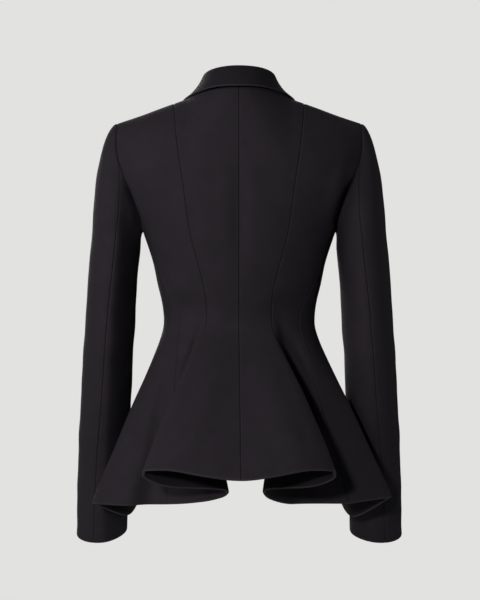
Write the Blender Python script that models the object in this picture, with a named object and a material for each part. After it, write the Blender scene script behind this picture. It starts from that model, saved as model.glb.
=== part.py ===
"""A fitted jacket with a fluted peplum, hollow and filled out as it is worn.

Metres, +Z up. The front faces -Y and the wearer's left is +X. The origin is the middle of the
base of the neck, level with the shoulder seams, where a wearer's shoulders hold the jacket up.
Each half is worked out with x measured out from the middle, and then set on its own side.
"""

import math
from collections import namedtuple

import bmesh
import bpy
import numpy as np

# Cloth
WALL = 0.0018
SEAM_GAP = 0.0003
CLOTH_COLOUR = (0.013, 0.012, 0.013, 1.0)
BUTTON_COLOUR = (0.006, 0.006, 0.006, 1.0)

# Which face of the body a point is on
BACK = 1.0
FRONT = -1.0

# Body sections are superellipses of this power
SECTION_POWER = 2.3

# Columns of each panel, hem to top, and rows of each stretch
BACK_COLUMNS = 10
SIDE_BACK_COLUMNS = 16
SIDE_FRONT_COLUMNS = 18
FRONT_COLUMNS = 10
PEPLUM_ROWS = 8
SIDE_ROWS = 5
ARMHOLE_ROWS = 10

# Shoulder seam, from the neck out to the sleeve
NECK_HALF = 0.061
NAPE_Z = 0.0215
NECK_COLUMN = 6
SEAM_TOP_X = NECK_HALF * BACK_COLUMNS / NECK_COLUMN
SHOULDER_HALF = 0.191
SHOULDER_TIP_Z = -0.038
SHOULDER_SLOPE = 0.352
NECK_CLIMB_X = 0.082
NECK_CLIMB = 4.0
NECK_CLIMB_POWER = 1.5
SHOULDER_ROUND = 0.110
SHOULDER_ROUND_POWER = 2.2

# Armhole
UNDERARM_Z = -0.207
UNDERARM_HALF = 0.151
ARMHOLE_WIDENS = 0.040
ARMHOLE_UPRIGHT_Z = -0.072
FRONT_HOLLOW = 0.008
EVEN_ABOVE_UNDERARM = 0.060

# Peplum: the cloth leaves the waist softly, then hangs straight
WAIST_Z = -0.348
PEPLUM_CLOSER = 1.2
FLARE_POWER = 0.9

# Front edges: each runs past the middle, and the right one lies over the left one
LAP = 0.020
LAP_LIFT = 0.0030
LAP_LIFT_HEM = 0.004
LAP_FULL_X = 0.036
LAP_START_X = 0.075
BREAK_Z = -0.325

# Sleeve: the column of each seam, counted from the shoulder round the back
SLEEVE_BACK_SEAM = 5
SLEEVE_FRONT_SEAM = 13
CAP_ROWS = 6
ARM_ROWS = 9
CAP_OUT = 0.55
CAP_DOWN = 0.30
CAP_TURN = 0.35
CAP_END = 1.0
CAP_FOLD = 1.8

# Collar
COLLAR_BACK_COLUMNS = 8
COLLAR_FRONT_COLUMNS = 7
GORGE_Z = -0.042
CREST_HALF = 0.051
CREST_BACK = 0.055
CREST_BACK_Z = 0.0465
CREST_SIDE_Z = 0.0415
CREST_LOW = 0.006
COLLAR_ROLL = 0.003
FALL_HALF = 0.079
FALL_BACK_Z = 0.0165
FALL_FRONT = 0.052
FALL_SIDE_SLOPE = 0.60
GORGE_SLOPE = 0.42
FALL_LIFT = 0.0034
FALL_HOLLOW = 0.0030
FALL_SHARES = (0.12, 0.28, 0.46, 0.64, 0.82, 1.0)
ROLL_ANGLES = (0.0, 60.0, 120.0)
ROLL_SHOULDER = 0.8
STAND_ROWS = 3
STAND_CLEAR = 0.0008
NOTCH = 0.016
NECK_AXIS_Y = -0.010

# Lapels
LAPEL_ROWS = 10
LAPEL_COLUMNS = 6
LAPEL_LIFT = 0.0016
LAPEL_GAP = 0.0012

# Button
BUTTON_RADIUS = 0.012
BUTTON_THICK = 0.004
BUTTON_Z = -0.338
BUTTON_SIDES = 32
BUTTON_EDGE = 0.0009
BUTTON_CLEAR = 0.0014

Level = namedtuple("Level", "name z half_width back front")
LEVELS = (
    Level("waist", -0.348, 0.1180, 0.084, 0.106),
    Level("ribs", -0.286, 0.1280, 0.095, 0.118),
    Level("under_bust", -0.240, 0.1395, 0.104, 0.127),
    Level("underarm", -0.207, 0.1510, 0.109, 0.130),
    Level("chest", -0.165, 0.1710, 0.113, 0.125),
    Level("blade", -0.122, 0.1960, 0.114, 0.113),
    Level("yoke", -0.080, 0.2060, 0.108, 0.099),
    Level("shoulder", -0.038, 0.2080, 0.095, 0.084),
    Level("neck", 0.010, 0.2080, 0.072, 0.066),
    Level("nape", 0.026, 0.2080, 0.058, 0.055),
)

# Where the long seams run: x of the two princess seams, angle of the side seam from the back
SeamRow = namedtuple("SeamRow", "z back_x front_x side_angle")
SEAMS = (
    SeamRow(-0.348, 0.0505, 0.062, 50.0),
    SeamRow(-0.314, 0.0510, 0.066, 57.0),
    SeamRow(-0.286, 0.0560, 0.072, 63.0),
    SeamRow(-0.240, 0.0675, 0.086, 76.0),
    SeamRow(-0.207, 0.0755, 0.092, 90.0),
    SeamRow(-0.146, 0.0840, 0.096, 90.0),
    SeamRow(-0.067, 0.0955, 0.099, 90.0),
    SeamRow(-0.010, SEAM_TOP_X, SEAM_TOP_X, 90.0),
)

# Hem folds from the centre back round to the front edge. "at" counts panels: 0 to 1 is the back,
# 1 to 2 the side back and so on. "turn" is how fast y changes there, which rounds the fold. "soft"
# is how gently the cloth leaves the waist, and "bow" how far it bows out on its way down.
Fold = namedtuple(
    "Fold", "name at left_x right_x left_y right_y left_turn right_turn left_z right_z soft bow"
)
FOLDS = (
    Fold("centre_back", 0.00, -0.003, 0.003, 0.240, 0.240, 0.00, 0.00, -0.575, -0.575, 0.16, 0.04),
    Fold("flute_side", 0.55, 0.106, 0.106, 0.229, 0.229, -0.055, -0.055, -0.562, -0.562, 0.14, 0.04),
    Fold("ridge_1", 0.90, 0.143, 0.143, 0.202, 0.202, -0.12, -0.12, -0.566, -0.566, 0.10, 0.04),
    Fold("tip_1", 0.97, 0.1405, 0.1410, 0.1935, 0.1935, -0.125, -0.125, -0.572, -0.5735, 0.10, 0.03),
    Fold("return_1", 1.12, 0.106, 0.108, 0.173, 0.173, -0.13, -0.13, -0.589, -0.589, 0.10, 0.02),
    Fold("valley_1_over", 1.38, 0.0215, 0.0415, 0.1358, 0.1358, -0.13, -0.13, -0.5985, -0.5975, 0.10, 0.00),
    Fold("valley_1", 1.44, 0.018, 0.038, 0.128, 0.128, -0.13, -0.13, -0.603, -0.602, 0.10, 0.00),
    Fold("valley_1_under", 1.50, 0.022, 0.0430, 0.1212, 0.1170, -0.10, -0.26, -0.609, -0.612, 0.10, 0.00),
    Fold("under_flute", 1.64, 0.055, 0.082, 0.115, 0.079, -0.06, -0.12, -0.618, -0.6255, 0.10, 0.00),
    Fold("side_seam", 2.00, 0.111, 0.167, 0.092, 0.088, -0.12, 0.03, -0.624, -0.6235, 0.11, 0.00),
    Fold("side_hollow", 2.08, 0.137, 0.185, 0.0815, 0.0895, 0.00, 0.00, -0.6245, -0.6195, 0.11, 0.00),
    Fold("side_crest", 2.19, 0.170, 0.210, 0.0925, 0.088, -0.03, -0.03, -0.625, -0.616, 0.12, 0.00),
    Fold("ridge_2", 2.33, 0.227, 0.2335, 0.055, 0.079, -0.20, -0.12, -0.625, -0.613, 0.13, 0.00),
    Fold("valley_2", 2.61, 0.174, 0.175, 0.000, 0.000, -0.30, -0.30, -0.650, -0.652, 0.13, 0.00),
    Fold("ridge_3", 3.00, 0.150, 0.150, -0.178, -0.178, -0.15, -0.15, -0.612, -0.612, 0.11, 0.00),
    Fold("front_dip", 3.45, 0.078, 0.078, -0.184, -0.184, 0.02, 0.02, -0.604, -0.604, 0.10, 0.00),
    Fold("centre_front", 3.84, 0.000, 0.000, -0.203, -0.203, 0.00, 0.00, -0.600, -0.600, 0.10, 0.00),
    Fold("front_edge", 4.00, -LAP, -LAP, -0.1995, -0.1995, 0.03, 0.03, -0.600, -0.600, 0.10, 0.00),
)

# Sleeve sections below the armhole. The drops tip the cuff down to the back and to the outside,
# and the drift moves the back seam outward, in degrees.
ArmRow = namedtuple("ArmRow", "name z x y half_width half_depth drop_back drop_out drift")
ARM = (
    ArmRow("bicep", -0.235, 0.1936, 0.004, 0.0392, 0.062, 0.000, 0.000, 4.0),
    ArmRow("above_elbow", -0.300, 0.1990, 0.004, 0.0390, 0.059, 0.001, 0.000, 7.0),
    ArmRow("elbow", -0.373, 0.2036, 0.002, 0.0392, 0.056, 0.003, 0.001, 10.0),
    ArmRow("forearm", -0.450, 0.2086, -0.010, 0.0398, 0.052, 0.006, 0.002, 12.0),
    ArmRow("wrist", -0.560, 0.2154, -0.038, 0.0406, 0.047, 0.010, 0.003, 16.0),
    ArmRow("cuff", -0.686, 0.2206, -0.072, 0.0410, 0.043, 0.0120, 0.002, 19.0),
)

# Lapel width along the roll line, from its foot to the gorge, and the fall of its rows
LapelRow = namedtuple("LapelRow", "share width slope")
LAPEL = (
    LapelRow(0.00, 0.004, 0.00),
    LapelRow(0.25, 0.028, 0.02),
    LapelRow(0.50, 0.048, 0.08),
    LapelRow(0.75, 0.066, 0.22),
    LapelRow(1.00, 0.076, GORGE_SLOPE),
)

Half = namedtuple("Half", "name sign laps lapel_foot_z fold_x fold_y fold_turn fold_z")
HALVES = (
    Half("left", 1.0, False, -0.236, "left_x", "left_y", "left_turn", "left_z"),
    Half("right", -1.0, True, -0.316, "right_x", "right_y", "right_turn", "right_z"),
)


# Helpers


def column(table, name):
    return np.array([getattr(row, name) for row in table], float)


def unit(vectors):
    return vectors / np.maximum(np.linalg.norm(vectors, axis=-1, keepdims=True), 1e-12)


def ease(low, high, value):
    share = np.clip((value - low) / (high - low), 0.0, 1.0)
    return share * share * (3.0 - 2.0 * share)


def cubic_line(places, values, slopes):
    """A function that passes through the values with the slopes given."""
    steps = np.diff(places)

    def line(place):
        place = np.clip(place, places[0], places[-1])
        i = np.clip(np.searchsorted(places, place, side="right") - 1, 0, len(steps) - 1)
        t = (place - places[i]) / steps[i]
        start = (1.0 + 2.0 * t) * (1.0 - t) ** 2 * values[i]
        end = t * t * (3.0 - 2.0 * t) * values[i + 1]
        start_slope = t * (1.0 - t) ** 2 * slopes[i] * steps[i]
        end_slope = t * t * (t - 1.0) * slopes[i + 1] * steps[i]
        return start + end + start_slope + end_slope

    return line


def smooth_line(places, values, flat_start=False, flat_end=False):
    """A function through the values that never swings past them."""
    rises = np.diff(values) / np.diff(places)
    slopes = np.zeros(len(values))
    slopes[0] = 0.0 if flat_start else rises[0]
    slopes[-1] = 0.0 if flat_end else rises[-1]
    for i in range(1, len(values) - 1):
        before, after = rises[i - 1], rises[i]
        if before * after > 0.0:
            slopes[i] = 2.0 * before * after / (before + after)
    return cubic_line(places, values, slopes)


LEVEL_Z = column(LEVELS, "z")
half_width = smooth_line(LEVEL_Z, column(LEVELS, "half_width"), flat_start=True)
back_depth = smooth_line(LEVEL_Z, column(LEVELS, "back"), flat_start=True)
front_depth = smooth_line(LEVEL_Z, column(LEVELS, "front"), flat_start=True)

SEAM_Z = column(SEAMS, "z")
back_seam_x = smooth_line(SEAM_Z, column(SEAMS, "back_x"), flat_start=True)
front_seam_x = smooth_line(SEAM_Z, column(SEAMS, "front_x"), flat_start=True)
side_angle = smooth_line(SEAM_Z, np.radians(column(SEAMS, "side_angle")))


# Body surface above the waist


def shoulder_z(x):
    """Height of the shoulder seam, carried on to the middle above the neck."""
    climb = NECK_CLIMB * np.maximum(0.0, NECK_CLIMB_X - x) ** NECK_CLIMB_POWER
    return SHOULDER_TIP_Z + SHOULDER_SLOPE * (SHOULDER_HALF - x) + climb


def shoulder_round(drop):
    """Share of the body's depth that is reached at a drop below the shoulder seam."""
    left = np.clip(1.0 - drop / SHOULDER_ROUND, 0.0, 1.0)
    return (1.0 - left**SHOULDER_ROUND_POWER) ** (1.0 / SHOULDER_ROUND_POWER)


def depth_at(z, face):
    return np.where(face > 0.0, back_depth(z), front_depth(z))


def body_y(x, z, face):
    share = np.clip(np.abs(x) / half_width(z), 0.0, 1.0)
    section = (1.0 - share**SECTION_POWER) ** (1.0 / SECTION_POWER)
    return face * depth_at(z, face) * section * shoulder_round(shoulder_z(np.abs(x)) - z)


def body_normal(x, z, face, step=0.0004):
    """Outward normal of the body at x and z."""
    y_in, y_out = body_y(x - step, z, face), body_y(x + step, z, face)
    y_low, y_high = body_y(x, z - step, face), body_y(x, z + step, face)
    across = (y_out - y_in) / (2.0 * step)
    up = (y_high - y_low) / (2.0 * step)
    return unit(np.stack([-across * face, face * np.ones_like(across), -up * face], axis=-1))


def angle_at(x, z, face):
    """Angle round the section, from the centre back, of the point at x."""
    share = np.clip(np.abs(x) / half_width(z), 0.0, 1.0)
    turn = np.arcsin(share ** (SECTION_POWER / 2.0)) * np.sign(x)
    return turn if face > 0.0 else math.pi - turn


def ring_point(angle, z):
    sine, cosine = np.sin(angle), np.cos(angle)
    x = half_width(z) * np.sign(sine) * np.abs(sine) ** (2.0 / SECTION_POWER)
    depth = np.where(cosine >= 0.0, back_depth(z), front_depth(z))
    y = depth * np.sign(cosine) * np.abs(cosine) ** (2.0 / SECTION_POWER)
    y = y * shoulder_round(shoulder_z(np.abs(x)) - z)
    return np.stack([x, y, z * np.ones_like(x)], axis=-1)


def armhole_x(z, face):
    x = UNDERARM_HALF + ARMHOLE_WIDENS * ease(UNDERARM_Z, ARMHOLE_UPRIGHT_Z, z)
    if face > 0.0:
        return x
    share = np.clip((z - UNDERARM_Z) / (SHOULDER_TIP_Z - UNDERARM_Z), 0.0, 1.0)
    return x - FRONT_HOLLOW * np.sin(math.pi * share)


def roll_x(z):
    """x of the front edge: straight up to the break, then along the roll line to the neck."""
    neck_z = float(shoulder_z(NECK_HALF))
    share = np.clip((z - BREAK_Z) / (neck_z - BREAK_Z), 0.0, 1.0)
    return -LAP + (NECK_HALF + LAP) * share


def edge_angle(name, z):
    """Angle round the section of a panel's edge at height z."""
    if name == "centre_back":
        return np.zeros_like(z)
    if name == "back_seam":
        return angle_at(back_seam_x(z), z, BACK)
    if name == "front_seam":
        return angle_at(front_seam_x(z), z, FRONT)
    if name == "front_edge":
        return angle_at(roll_x(z), z, FRONT)
    face = BACK if name == "side_back_edge" else FRONT
    return np.where(z <= UNDERARM_Z + 1e-9, side_angle(z), angle_at(armhole_x(z, face), z, face))


def neckline_z(x):
    """Height of the back neckline."""
    return NAPE_Z + (shoulder_z(NECK_HALF) - NAPE_Z) * (x / NECK_HALF) ** 2


# Panels of the body

Panel = namedtuple("Panel", "name number face start end top_start top_end columns")
PANELS = (
    Panel("back", 0, BACK, "centre_back", "back_seam", 0.0, SEAM_TOP_X, BACK_COLUMNS),
    Panel("side_back", 1, BACK, "back_seam", "side_back_edge", SEAM_TOP_X, SHOULDER_HALF,
          SIDE_BACK_COLUMNS),
    Panel("side_front", 2, FRONT, "side_front_edge", "front_seam", SHOULDER_HALF, SEAM_TOP_X,
          SIDE_FRONT_COLUMNS),
    Panel("front", 3, FRONT, "front_seam", "front_edge", SEAM_TOP_X, NECK_HALF, FRONT_COLUMNS),
)


def row_shares():
    """Heights of the rows from the waist to the shoulder, closer at both ends of the armhole."""
    rise = SHOULDER_TIP_Z - WAIST_Z
    side = np.linspace(0.0, (UNDERARM_Z - WAIST_Z) / rise, SIDE_ROWS + 1)
    turn = np.linspace(0.0, math.pi, ARMHOLE_ROWS + 1)[1:]
    middle = (SHOULDER_TIP_Z + UNDERARM_Z) / 2.0
    reach = (SHOULDER_TIP_Z - UNDERARM_Z) / 2.0
    armhole = (middle - reach * np.cos(turn) - WAIST_Z) / rise
    return np.concatenate([side, armhole])


def panel_top_z(panel, shares):
    x = panel.top_start + (panel.top_end - panel.top_start) * shares
    top = shoulder_z(x)
    if panel.name == "back":
        inside = x < NECK_HALF - 1e-9
        top = np.where(inside, neckline_z(x), top)
    return top


def panel_body(panel):
    """Points of a panel from the waist to the shoulder, rows by columns."""
    shares = np.linspace(0.0, 1.0, panel.columns + 1)
    top = panel_top_z(panel, shares)
    z = WAIST_Z + row_shares()[:, None] * (top - WAIST_Z)[None, :]
    z_start, z_end = z[:, :1], z[:, -1:]
    start, end = edge_angle(panel.start, z_start), edge_angle(panel.end, z_end)
    by_angle = start + (end - start) * shares
    x_start, x_end = ring_point(start, z_start)[..., 0], ring_point(end, z_end)[..., 0]
    by_width = angle_at(x_start + (x_end - x_start) * shares, z, panel.face)
    upper = ease(UNDERARM_Z, UNDERARM_Z + EVEN_ABOVE_UNDERARM, z)
    return ring_point(by_angle + (by_width - by_angle) * upper, z)


def hem_lines(half):
    at = column(FOLDS, "at")
    x = smooth_line(at, column(FOLDS, half.fold_x))
    y = cubic_line(at, column(FOLDS, half.fold_y), column(FOLDS, half.fold_turn))
    z = smooth_line(at, column(FOLDS, half.fold_z), flat_start=True, flat_end=True)
    return x, y, z


def flare(drop, at):
    """Share of the way out to the hem that the peplum has gone at a share of its drop."""
    soft = smooth_line(column(FOLDS, "at"), column(FOLDS, "soft"))(at)
    bow = smooth_line(column(FOLDS, "at"), column(FOLDS, "bow"))(at)
    out = (np.sqrt(drop * drop + soft**2) - soft) / (np.sqrt(1.0 + soft**2) - soft)
    return out**FLARE_POWER + bow * math.sin(math.pi * drop)


def panel_peplum(panel, waist, half):
    """Points of a panel from the hem up to just under the waist, rows by columns."""
    at = panel.number + np.linspace(0.0, 1.0, panel.columns + 1)
    hem = np.stack([line(at) for line in hem_lines(half)], axis=-1)
    drops = np.linspace(1.0, 0.0, PEPLUM_ROWS + 1)[:-1] ** PEPLUM_CLOSER
    rows = []
    for drop in drops:
        row = waist + (hem - waist) * flare(drop, at)[:, None]
        row[:, 2] = waist[:, 2] + (hem[:, 2] - waist[:, 2]) * drop
        rows.append(row)
    return np.array(rows)


def lap_lift(x, z, half):
    """How far forward the lapping front stands off the body."""
    if not half.laps:
        return np.zeros_like(x)
    lift = LAP_LIFT + LAP_LIFT_HEM * ease(WAIST_Z, FOLDS[-1].left_z, z)
    return lift * (1.0 - ease(LAP_FULL_X, LAP_START_X, x))


def panel_points(panel, half):
    body = panel_body(panel)
    points = np.concatenate([panel_peplum(panel, body[0], half), body])
    if panel.name == "front":
        points[..., 1] -= lap_lift(points[..., 0], points[..., 2], half)
    return points


def grid_normals(points, wraps=False):
    """Normals of a grid of points, from the rows and columns beside each point."""
    along = np.gradient(points, axis=0)
    across = np.gradient(points, axis=1)
    if wraps:
        across = np.roll(points, -1, axis=1) - np.roll(points, 1, axis=1)
    return unit(np.cross(along, across))


def half_body(half):
    """Each panel's outer points and normals, which neighbouring panels share at their seams."""
    points = {panel.name: panel_points(panel, half) for panel in PANELS}
    faces = {}
    for first, second in (("back", "side_back"), ("side_front", "front")):
        joined = np.concatenate([points[first], points[second][:, 1:]], axis=1)
        normals = grid_normals(joined)
        columns = points[first].shape[1]
        faces[first], faces[second] = normals[:, :columns], normals[:, columns - 1:]
    below = slice(0, PEPLUM_ROWS + SIDE_ROWS + 1)
    side = unit(faces["side_back"][below, -1] + faces["side_front"][below, 0])
    faces["side_back"][below, -1] = side
    faces["side_front"][below, 0] = side
    faces["back"][:, 0, 0] = 0.0
    faces["back"][-1, NECK_COLUMN:, 1] = 0.0
    for name in ("side_back", "side_front", "front"):
        faces[name][-1, :, 1] = 0.0
    return {name: (points[name], unit(faces[name])) for name in points}


# Sleeve


def armhole_loop(body):
    """Points and normals round the armhole, from the shoulder down the back and up the front."""
    first = PEPLUM_ROWS + SIDE_ROWS
    loops = []
    for i in range(2):
        back = body["side_back"][i][first:, -1][::-1]
        front = body["side_front"][i][first + 1:-1, 0]
        loops.append(np.concatenate([back, front]))
    return loops


def arm_ring(level, angles, lines):
    drift = np.radians(lines["drift"](level))
    turned = angles - drift * np.where(angles < math.pi, np.sin(angles) ** 2, 0.0)
    x = lines["x"](level) + lines["half_width"](level) * np.cos(turned)
    y = lines["y"](level) + lines["half_depth"](level) * np.sin(turned)
    drop = lines["drop_back"](level) * np.sin(turned) + lines["drop_out"](level) * np.cos(turned)
    return np.stack([x, y, level - drop], axis=-1)


def sleeve_points(loop):
    """Rows from the armhole to the cuff, columns round the arm."""
    levels = column(ARM, "z")[::-1]
    lines = {}
    for name in ArmRow._fields[2:]:
        lines[name] = smooth_line(levels, column(ARM, name)[::-1])
    angles = np.linspace(0.0, 2.0 * math.pi, len(loop) + 1)[:-1]
    bicep = arm_ring(ARM[0].z, angles, lines)
    below = arm_ring(ARM[0].z - 0.01, angles, lines)
    fall = (loop[:, 2] - bicep[:, 2])[:, None]
    out = unit(np.stack([np.ones_like(angles), CAP_TURN * np.sin(angles), 0.0 * angles], axis=-1))
    leave = fall * (out * CAP_OUT - np.array([0.0, 0.0, CAP_DOWN]))
    arrive = fall * unit(below - bicep) * CAP_END
    start = loop + unit(leave) * SEAM_GAP * (1.0 - 0.5 * np.cos(angles))[:, None]
    rows = []
    for t in np.linspace(0.0, 1.0, CAP_ROWS + 1):
        point = (1.0 + 2.0 * t) * (1.0 - t) ** 2 * start + t * t * (3.0 - 2.0 * t) * bicep
        rows.append(point + t * (1.0 - t) ** 2 * leave + t * t * (t - 1.0) * arrive)
    for level in np.linspace(ARM[0].z, ARM[-1].z, ARM_ROWS + 1)[1:]:
        rows.append(arm_ring(level, angles, lines))
    return np.array(rows)


# Solids


def square_to(edge, inside):
    """Directions from an edge to the points inside it, square to the edge."""
    along = unit(np.gradient(edge, axis=0))
    inward = inside - edge
    return unit(inward - along * np.sum(inward * along, axis=-1, keepdims=True))


def inset(points, sides):
    """The grid with its edges on the named sides moved in by half a seam gap."""
    moved = points.copy()
    if "start" in sides:
        moved[:, 0] += square_to(points[:, 0], points[:, 1]) * SEAM_GAP / 2.0
    if "end" in sides:
        moved[:, -1] += square_to(points[:, -1], points[:, -2]) * SEAM_GAP / 2.0
    if "top" in sides:
        moved[-1] += square_to(points[-1], points[-2]) * SEAM_GAP / 2.0
    return moved


def wall_faces(rows, columns):
    """Faces of a closed wall between two grids that are numbered one after the other."""
    far = rows * columns
    faces = []
    for r in range(rows - 1):
        for c in range(columns - 1):
            a = r * columns + c
            quad = (a, a + 1, a + columns + 1, a + columns)
            faces.append(quad)
            faces.append(tuple(far + i for i in reversed(quad)))
    rim = [(0, c) for c in range(columns - 1)]
    rim += [(r, columns - 1) for r in range(rows - 1)]
    rim += [(rows - 1, c) for c in range(columns - 1, 0, -1)]
    rim += [(r, 0) for r in range(rows - 1, 0, -1)]
    rim = [r * columns + c for r, c in rim]
    for a, b in zip(rim, rim[1:] + rim[:1]):
        faces.append((b, a, far + a, far + b))
    return faces


def add_mesh(name, points, faces, material):
    mesh = bpy.data.meshes.new(name)
    mesh.from_pydata([tuple(p) for p in points], [], faces)
    shell = bmesh.new()
    shell.from_mesh(mesh)
    bmesh.ops.recalc_face_normals(shell, faces=shell.faces)
    shell.to_mesh(mesh)
    shell.free()
    mesh.materials.append(material)
    piece = bpy.data.objects.new(name, mesh)
    bpy.context.scene.collection.objects.link(piece)
    mesh.shade_smooth()
    return piece


def add_wall(name, outer, inner, material, sign=1.0):
    """A closed wall between two grids, set on the side of the body that the sign names."""
    rows, columns = outer.shape[:2]
    points = np.concatenate([outer.reshape(-1, 3), inner.reshape(-1, 3)])
    points = points * np.array([sign, 1.0, 1.0])
    return add_mesh(name, points, wall_faces(rows, columns), material)


def build_body(half, body, material):
    for panel in PANELS:
        points, normals = body[panel.name]
        outer = inset(points, ("start", "end", "top"))
        inner = outer - normals * WALL
        add_wall(f"{panel.name}_{half.name}", outer, inner, material, half.sign)


def build_sleeve(half, body, material):
    loop, loop_normals = armhole_loop(body)
    points = sleeve_points(loop)
    normals = grid_normals(points, wraps=True)
    count = len(loop)
    under = (1.0 - np.cos(np.linspace(0.0, 2.0 * math.pi, count + 1)[:-1])) / 2.0
    normals[0] = unit(normals[0] * CAP_FOLD * under[:, None] + loop_normals)
    pieces = {
        "upper_sleeve": range(SLEEVE_FRONT_SEAM, count + SLEEVE_BACK_SEAM + 1),
        "under_sleeve": range(SLEEVE_BACK_SEAM, SLEEVE_FRONT_SEAM + 1),
    }
    for name, columns in pieces.items():
        columns = [c % count for c in columns]
        outer = inset(points[:, columns], ("start", "end"))
        inner = outer - normals[:, columns] * WALL
        add_wall(f"{name}_{half.name}", outer, inner, material, half.sign)


# Collar and lapels


def front_points(x, z, half, lift):
    """Points of the front at x and z, moved out by the lift."""
    y = body_y(x, z, FRONT) - lap_lift(x, z, half)
    return np.stack([x, y, z], axis=-1) + body_normal(x, z, FRONT) * lift


def collar_turns():
    """Places along half the collar: angles round the back of the neck, then shares of the front."""
    turns = np.linspace(0.0, math.pi / 2.0, COLLAR_BACK_COLUMNS + 1)
    return turns, np.linspace(0.0, 1.0, COLLAR_FRONT_COLUMNS + 1)[1:]


def collar_under(share, half):
    """What lies under the collar at a share of its width: points and normals along the neck."""
    turns, along = collar_turns()
    side_z = shoulder_z(FALL_HALF)
    x_neck, x_edge = NECK_HALF * np.sin(turns), FALL_HALF * np.sin(turns)
    z_edge = side_z + (FALL_BACK_Z - side_z) * np.cos(turns) ** 2
    x = x_neck + (x_edge - x_neck) * share
    z = neckline_z(x_neck) + (z_edge - neckline_z(x_neck)) * share
    z = np.minimum(z, shoulder_z(x))
    y = body_y(x, z, BACK)
    y[-1] = 0.0
    back = np.stack([x, y, z], axis=-1)
    back_normals = body_normal(x, z - 0.0005, BACK)
    back_normals[-1, 1] = 0.0
    neck_z = shoulder_z(NECK_HALF)
    z_roll = neck_z + (GORGE_Z - neck_z) * along**2
    width = (FALL_HALF - NECK_HALF) + (FALL_FRONT - FALL_HALF + NECK_HALF) * along
    slope = FALL_SIDE_SLOPE + (GORGE_SLOPE - FALL_SIDE_SLOPE) * along
    notch = NOTCH * max(0.0, 2.0 * share - 1.0) * ease(0.6, 1.0, along)
    x = roll_x(z_roll) + width * share
    z = np.minimum(z_roll - slope * width * share + notch, shoulder_z(x))
    front = np.stack([x, body_y(x, z, FRONT) - lap_lift(x, z, half), z], axis=-1)
    front_normals = body_normal(x, z - 0.0005, FRONT)
    return np.concatenate([back, front]), unit(np.concatenate([back_normals, front_normals]))


def collar_crest(neck):
    """The line along the top of the collar, which sinks to the neckline at the gorge."""
    turns, along = collar_turns()
    z = CREST_SIDE_Z + (CREST_BACK_Z - CREST_SIDE_Z) * np.cos(turns) ** 2
    back = np.stack([CREST_HALF * np.sin(turns), CREST_BACK * np.cos(turns), z], axis=-1)
    low = ease(0.0, 1.0, along)[:, None]
    side = neck[len(turns) - 1]
    front = neck[len(turns):] + (back[-1] - side) * (1.0 - low)
    front[:, 2] += CREST_LOW * low[:, 0]
    return np.concatenate([back, front])


def collar_half(half):
    """Middle surfaces of half the stand and half the fall, and the way in to the neck."""
    neck, _ = collar_under(0.0, half)
    crest = collar_crest(neck)
    inward = np.stack([-crest[:, 0], NECK_AXIS_Y - crest[:, 1], 0.0 * crest[:, 0]], axis=-1)
    inward = unit(inward)
    up = np.array([0.0, 0.0, 1.0])
    foot = neck + inward * WALL + up * STAND_CLEAR
    fold = crest + (inward - up) * COLLAR_ROLL
    top = fold - up * SEAM_GAP
    stand = [foot + (top - foot) * share for share in np.linspace(0.0, 1.0, STAND_ROWS + 1)]
    fall = []
    for angle in np.radians(ROLL_ANGLES):
        over = -inward * (1.0 - math.cos(angle)) + up * math.sin(angle)
        fall.append(fold + over * COLLAR_ROLL)
    shoulder = crest - inward * COLLAR_ROLL * ROLL_SHOULDER
    turns, along = collar_turns()
    stands = np.concatenate([np.sin(turns) ** 2, 1.0 - ease(0.0, 0.5, along)])[:, None]
    for share in FALL_SHARES:
        under, normals = collar_under(share, half)
        hollow = (inward - up) * FALL_HOLLOW * stands * math.sin(math.pi * share)
        lift = normals * FALL_LIFT * math.sqrt(share)
        fall.append(under + (shoulder - neck) * (1.0 - share) + lift + hollow)
    return np.array(stand), np.array(fall), inward[None]


def whole_collar(index):
    """Rows of the collar from its right end round the back to its left end."""
    left, right = (collar_half(half)[index] for half in HALVES)
    right = right[:, ::-1] * np.array([-1.0, 1.0, 1.0])
    return np.concatenate([right, left[:, 1:]], axis=1)


def build_collar(material):
    inward = whole_collar(2)[0]
    for index, (name, edge) in enumerate((("collar_stand", -1), ("collar_fall", 0))):
        middle = whole_collar(index)
        normals = grid_normals(middle)
        facing = np.sign(np.sum(normals[edge] * inward, axis=-1, keepdims=True))
        normals[edge] = inward * facing
        half_wall = normals * WALL / 2.0
        add_wall(name, middle + half_wall, middle - half_wall, material)


def build_lapel(half, material):
    along = np.linspace(0.0, 1.0, LAPEL_ROWS + 1)[:, None]
    across = np.linspace(0.0, 1.0, LAPEL_COLUMNS + 1)[None, :]
    shares = column(LAPEL, "share")
    width = smooth_line(shares, column(LAPEL, "width"))(along) * across
    slope = smooth_line(shares, column(LAPEL, "slope"))(along)
    top = GORGE_Z - LAPEL_GAP - WALL
    z_roll = half.lapel_foot_z + (top - half.lapel_foot_z) * along
    x = roll_x(z_roll) + width
    z = z_roll - slope * width
    inner = front_points(x, z, half, LAPEL_LIFT - WALL / 2.0)
    outer = front_points(x, z, half, LAPEL_LIFT + WALL / 2.0)
    add_wall(f"lapel_{half.name}", outer, inner, material, half.sign)


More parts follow.
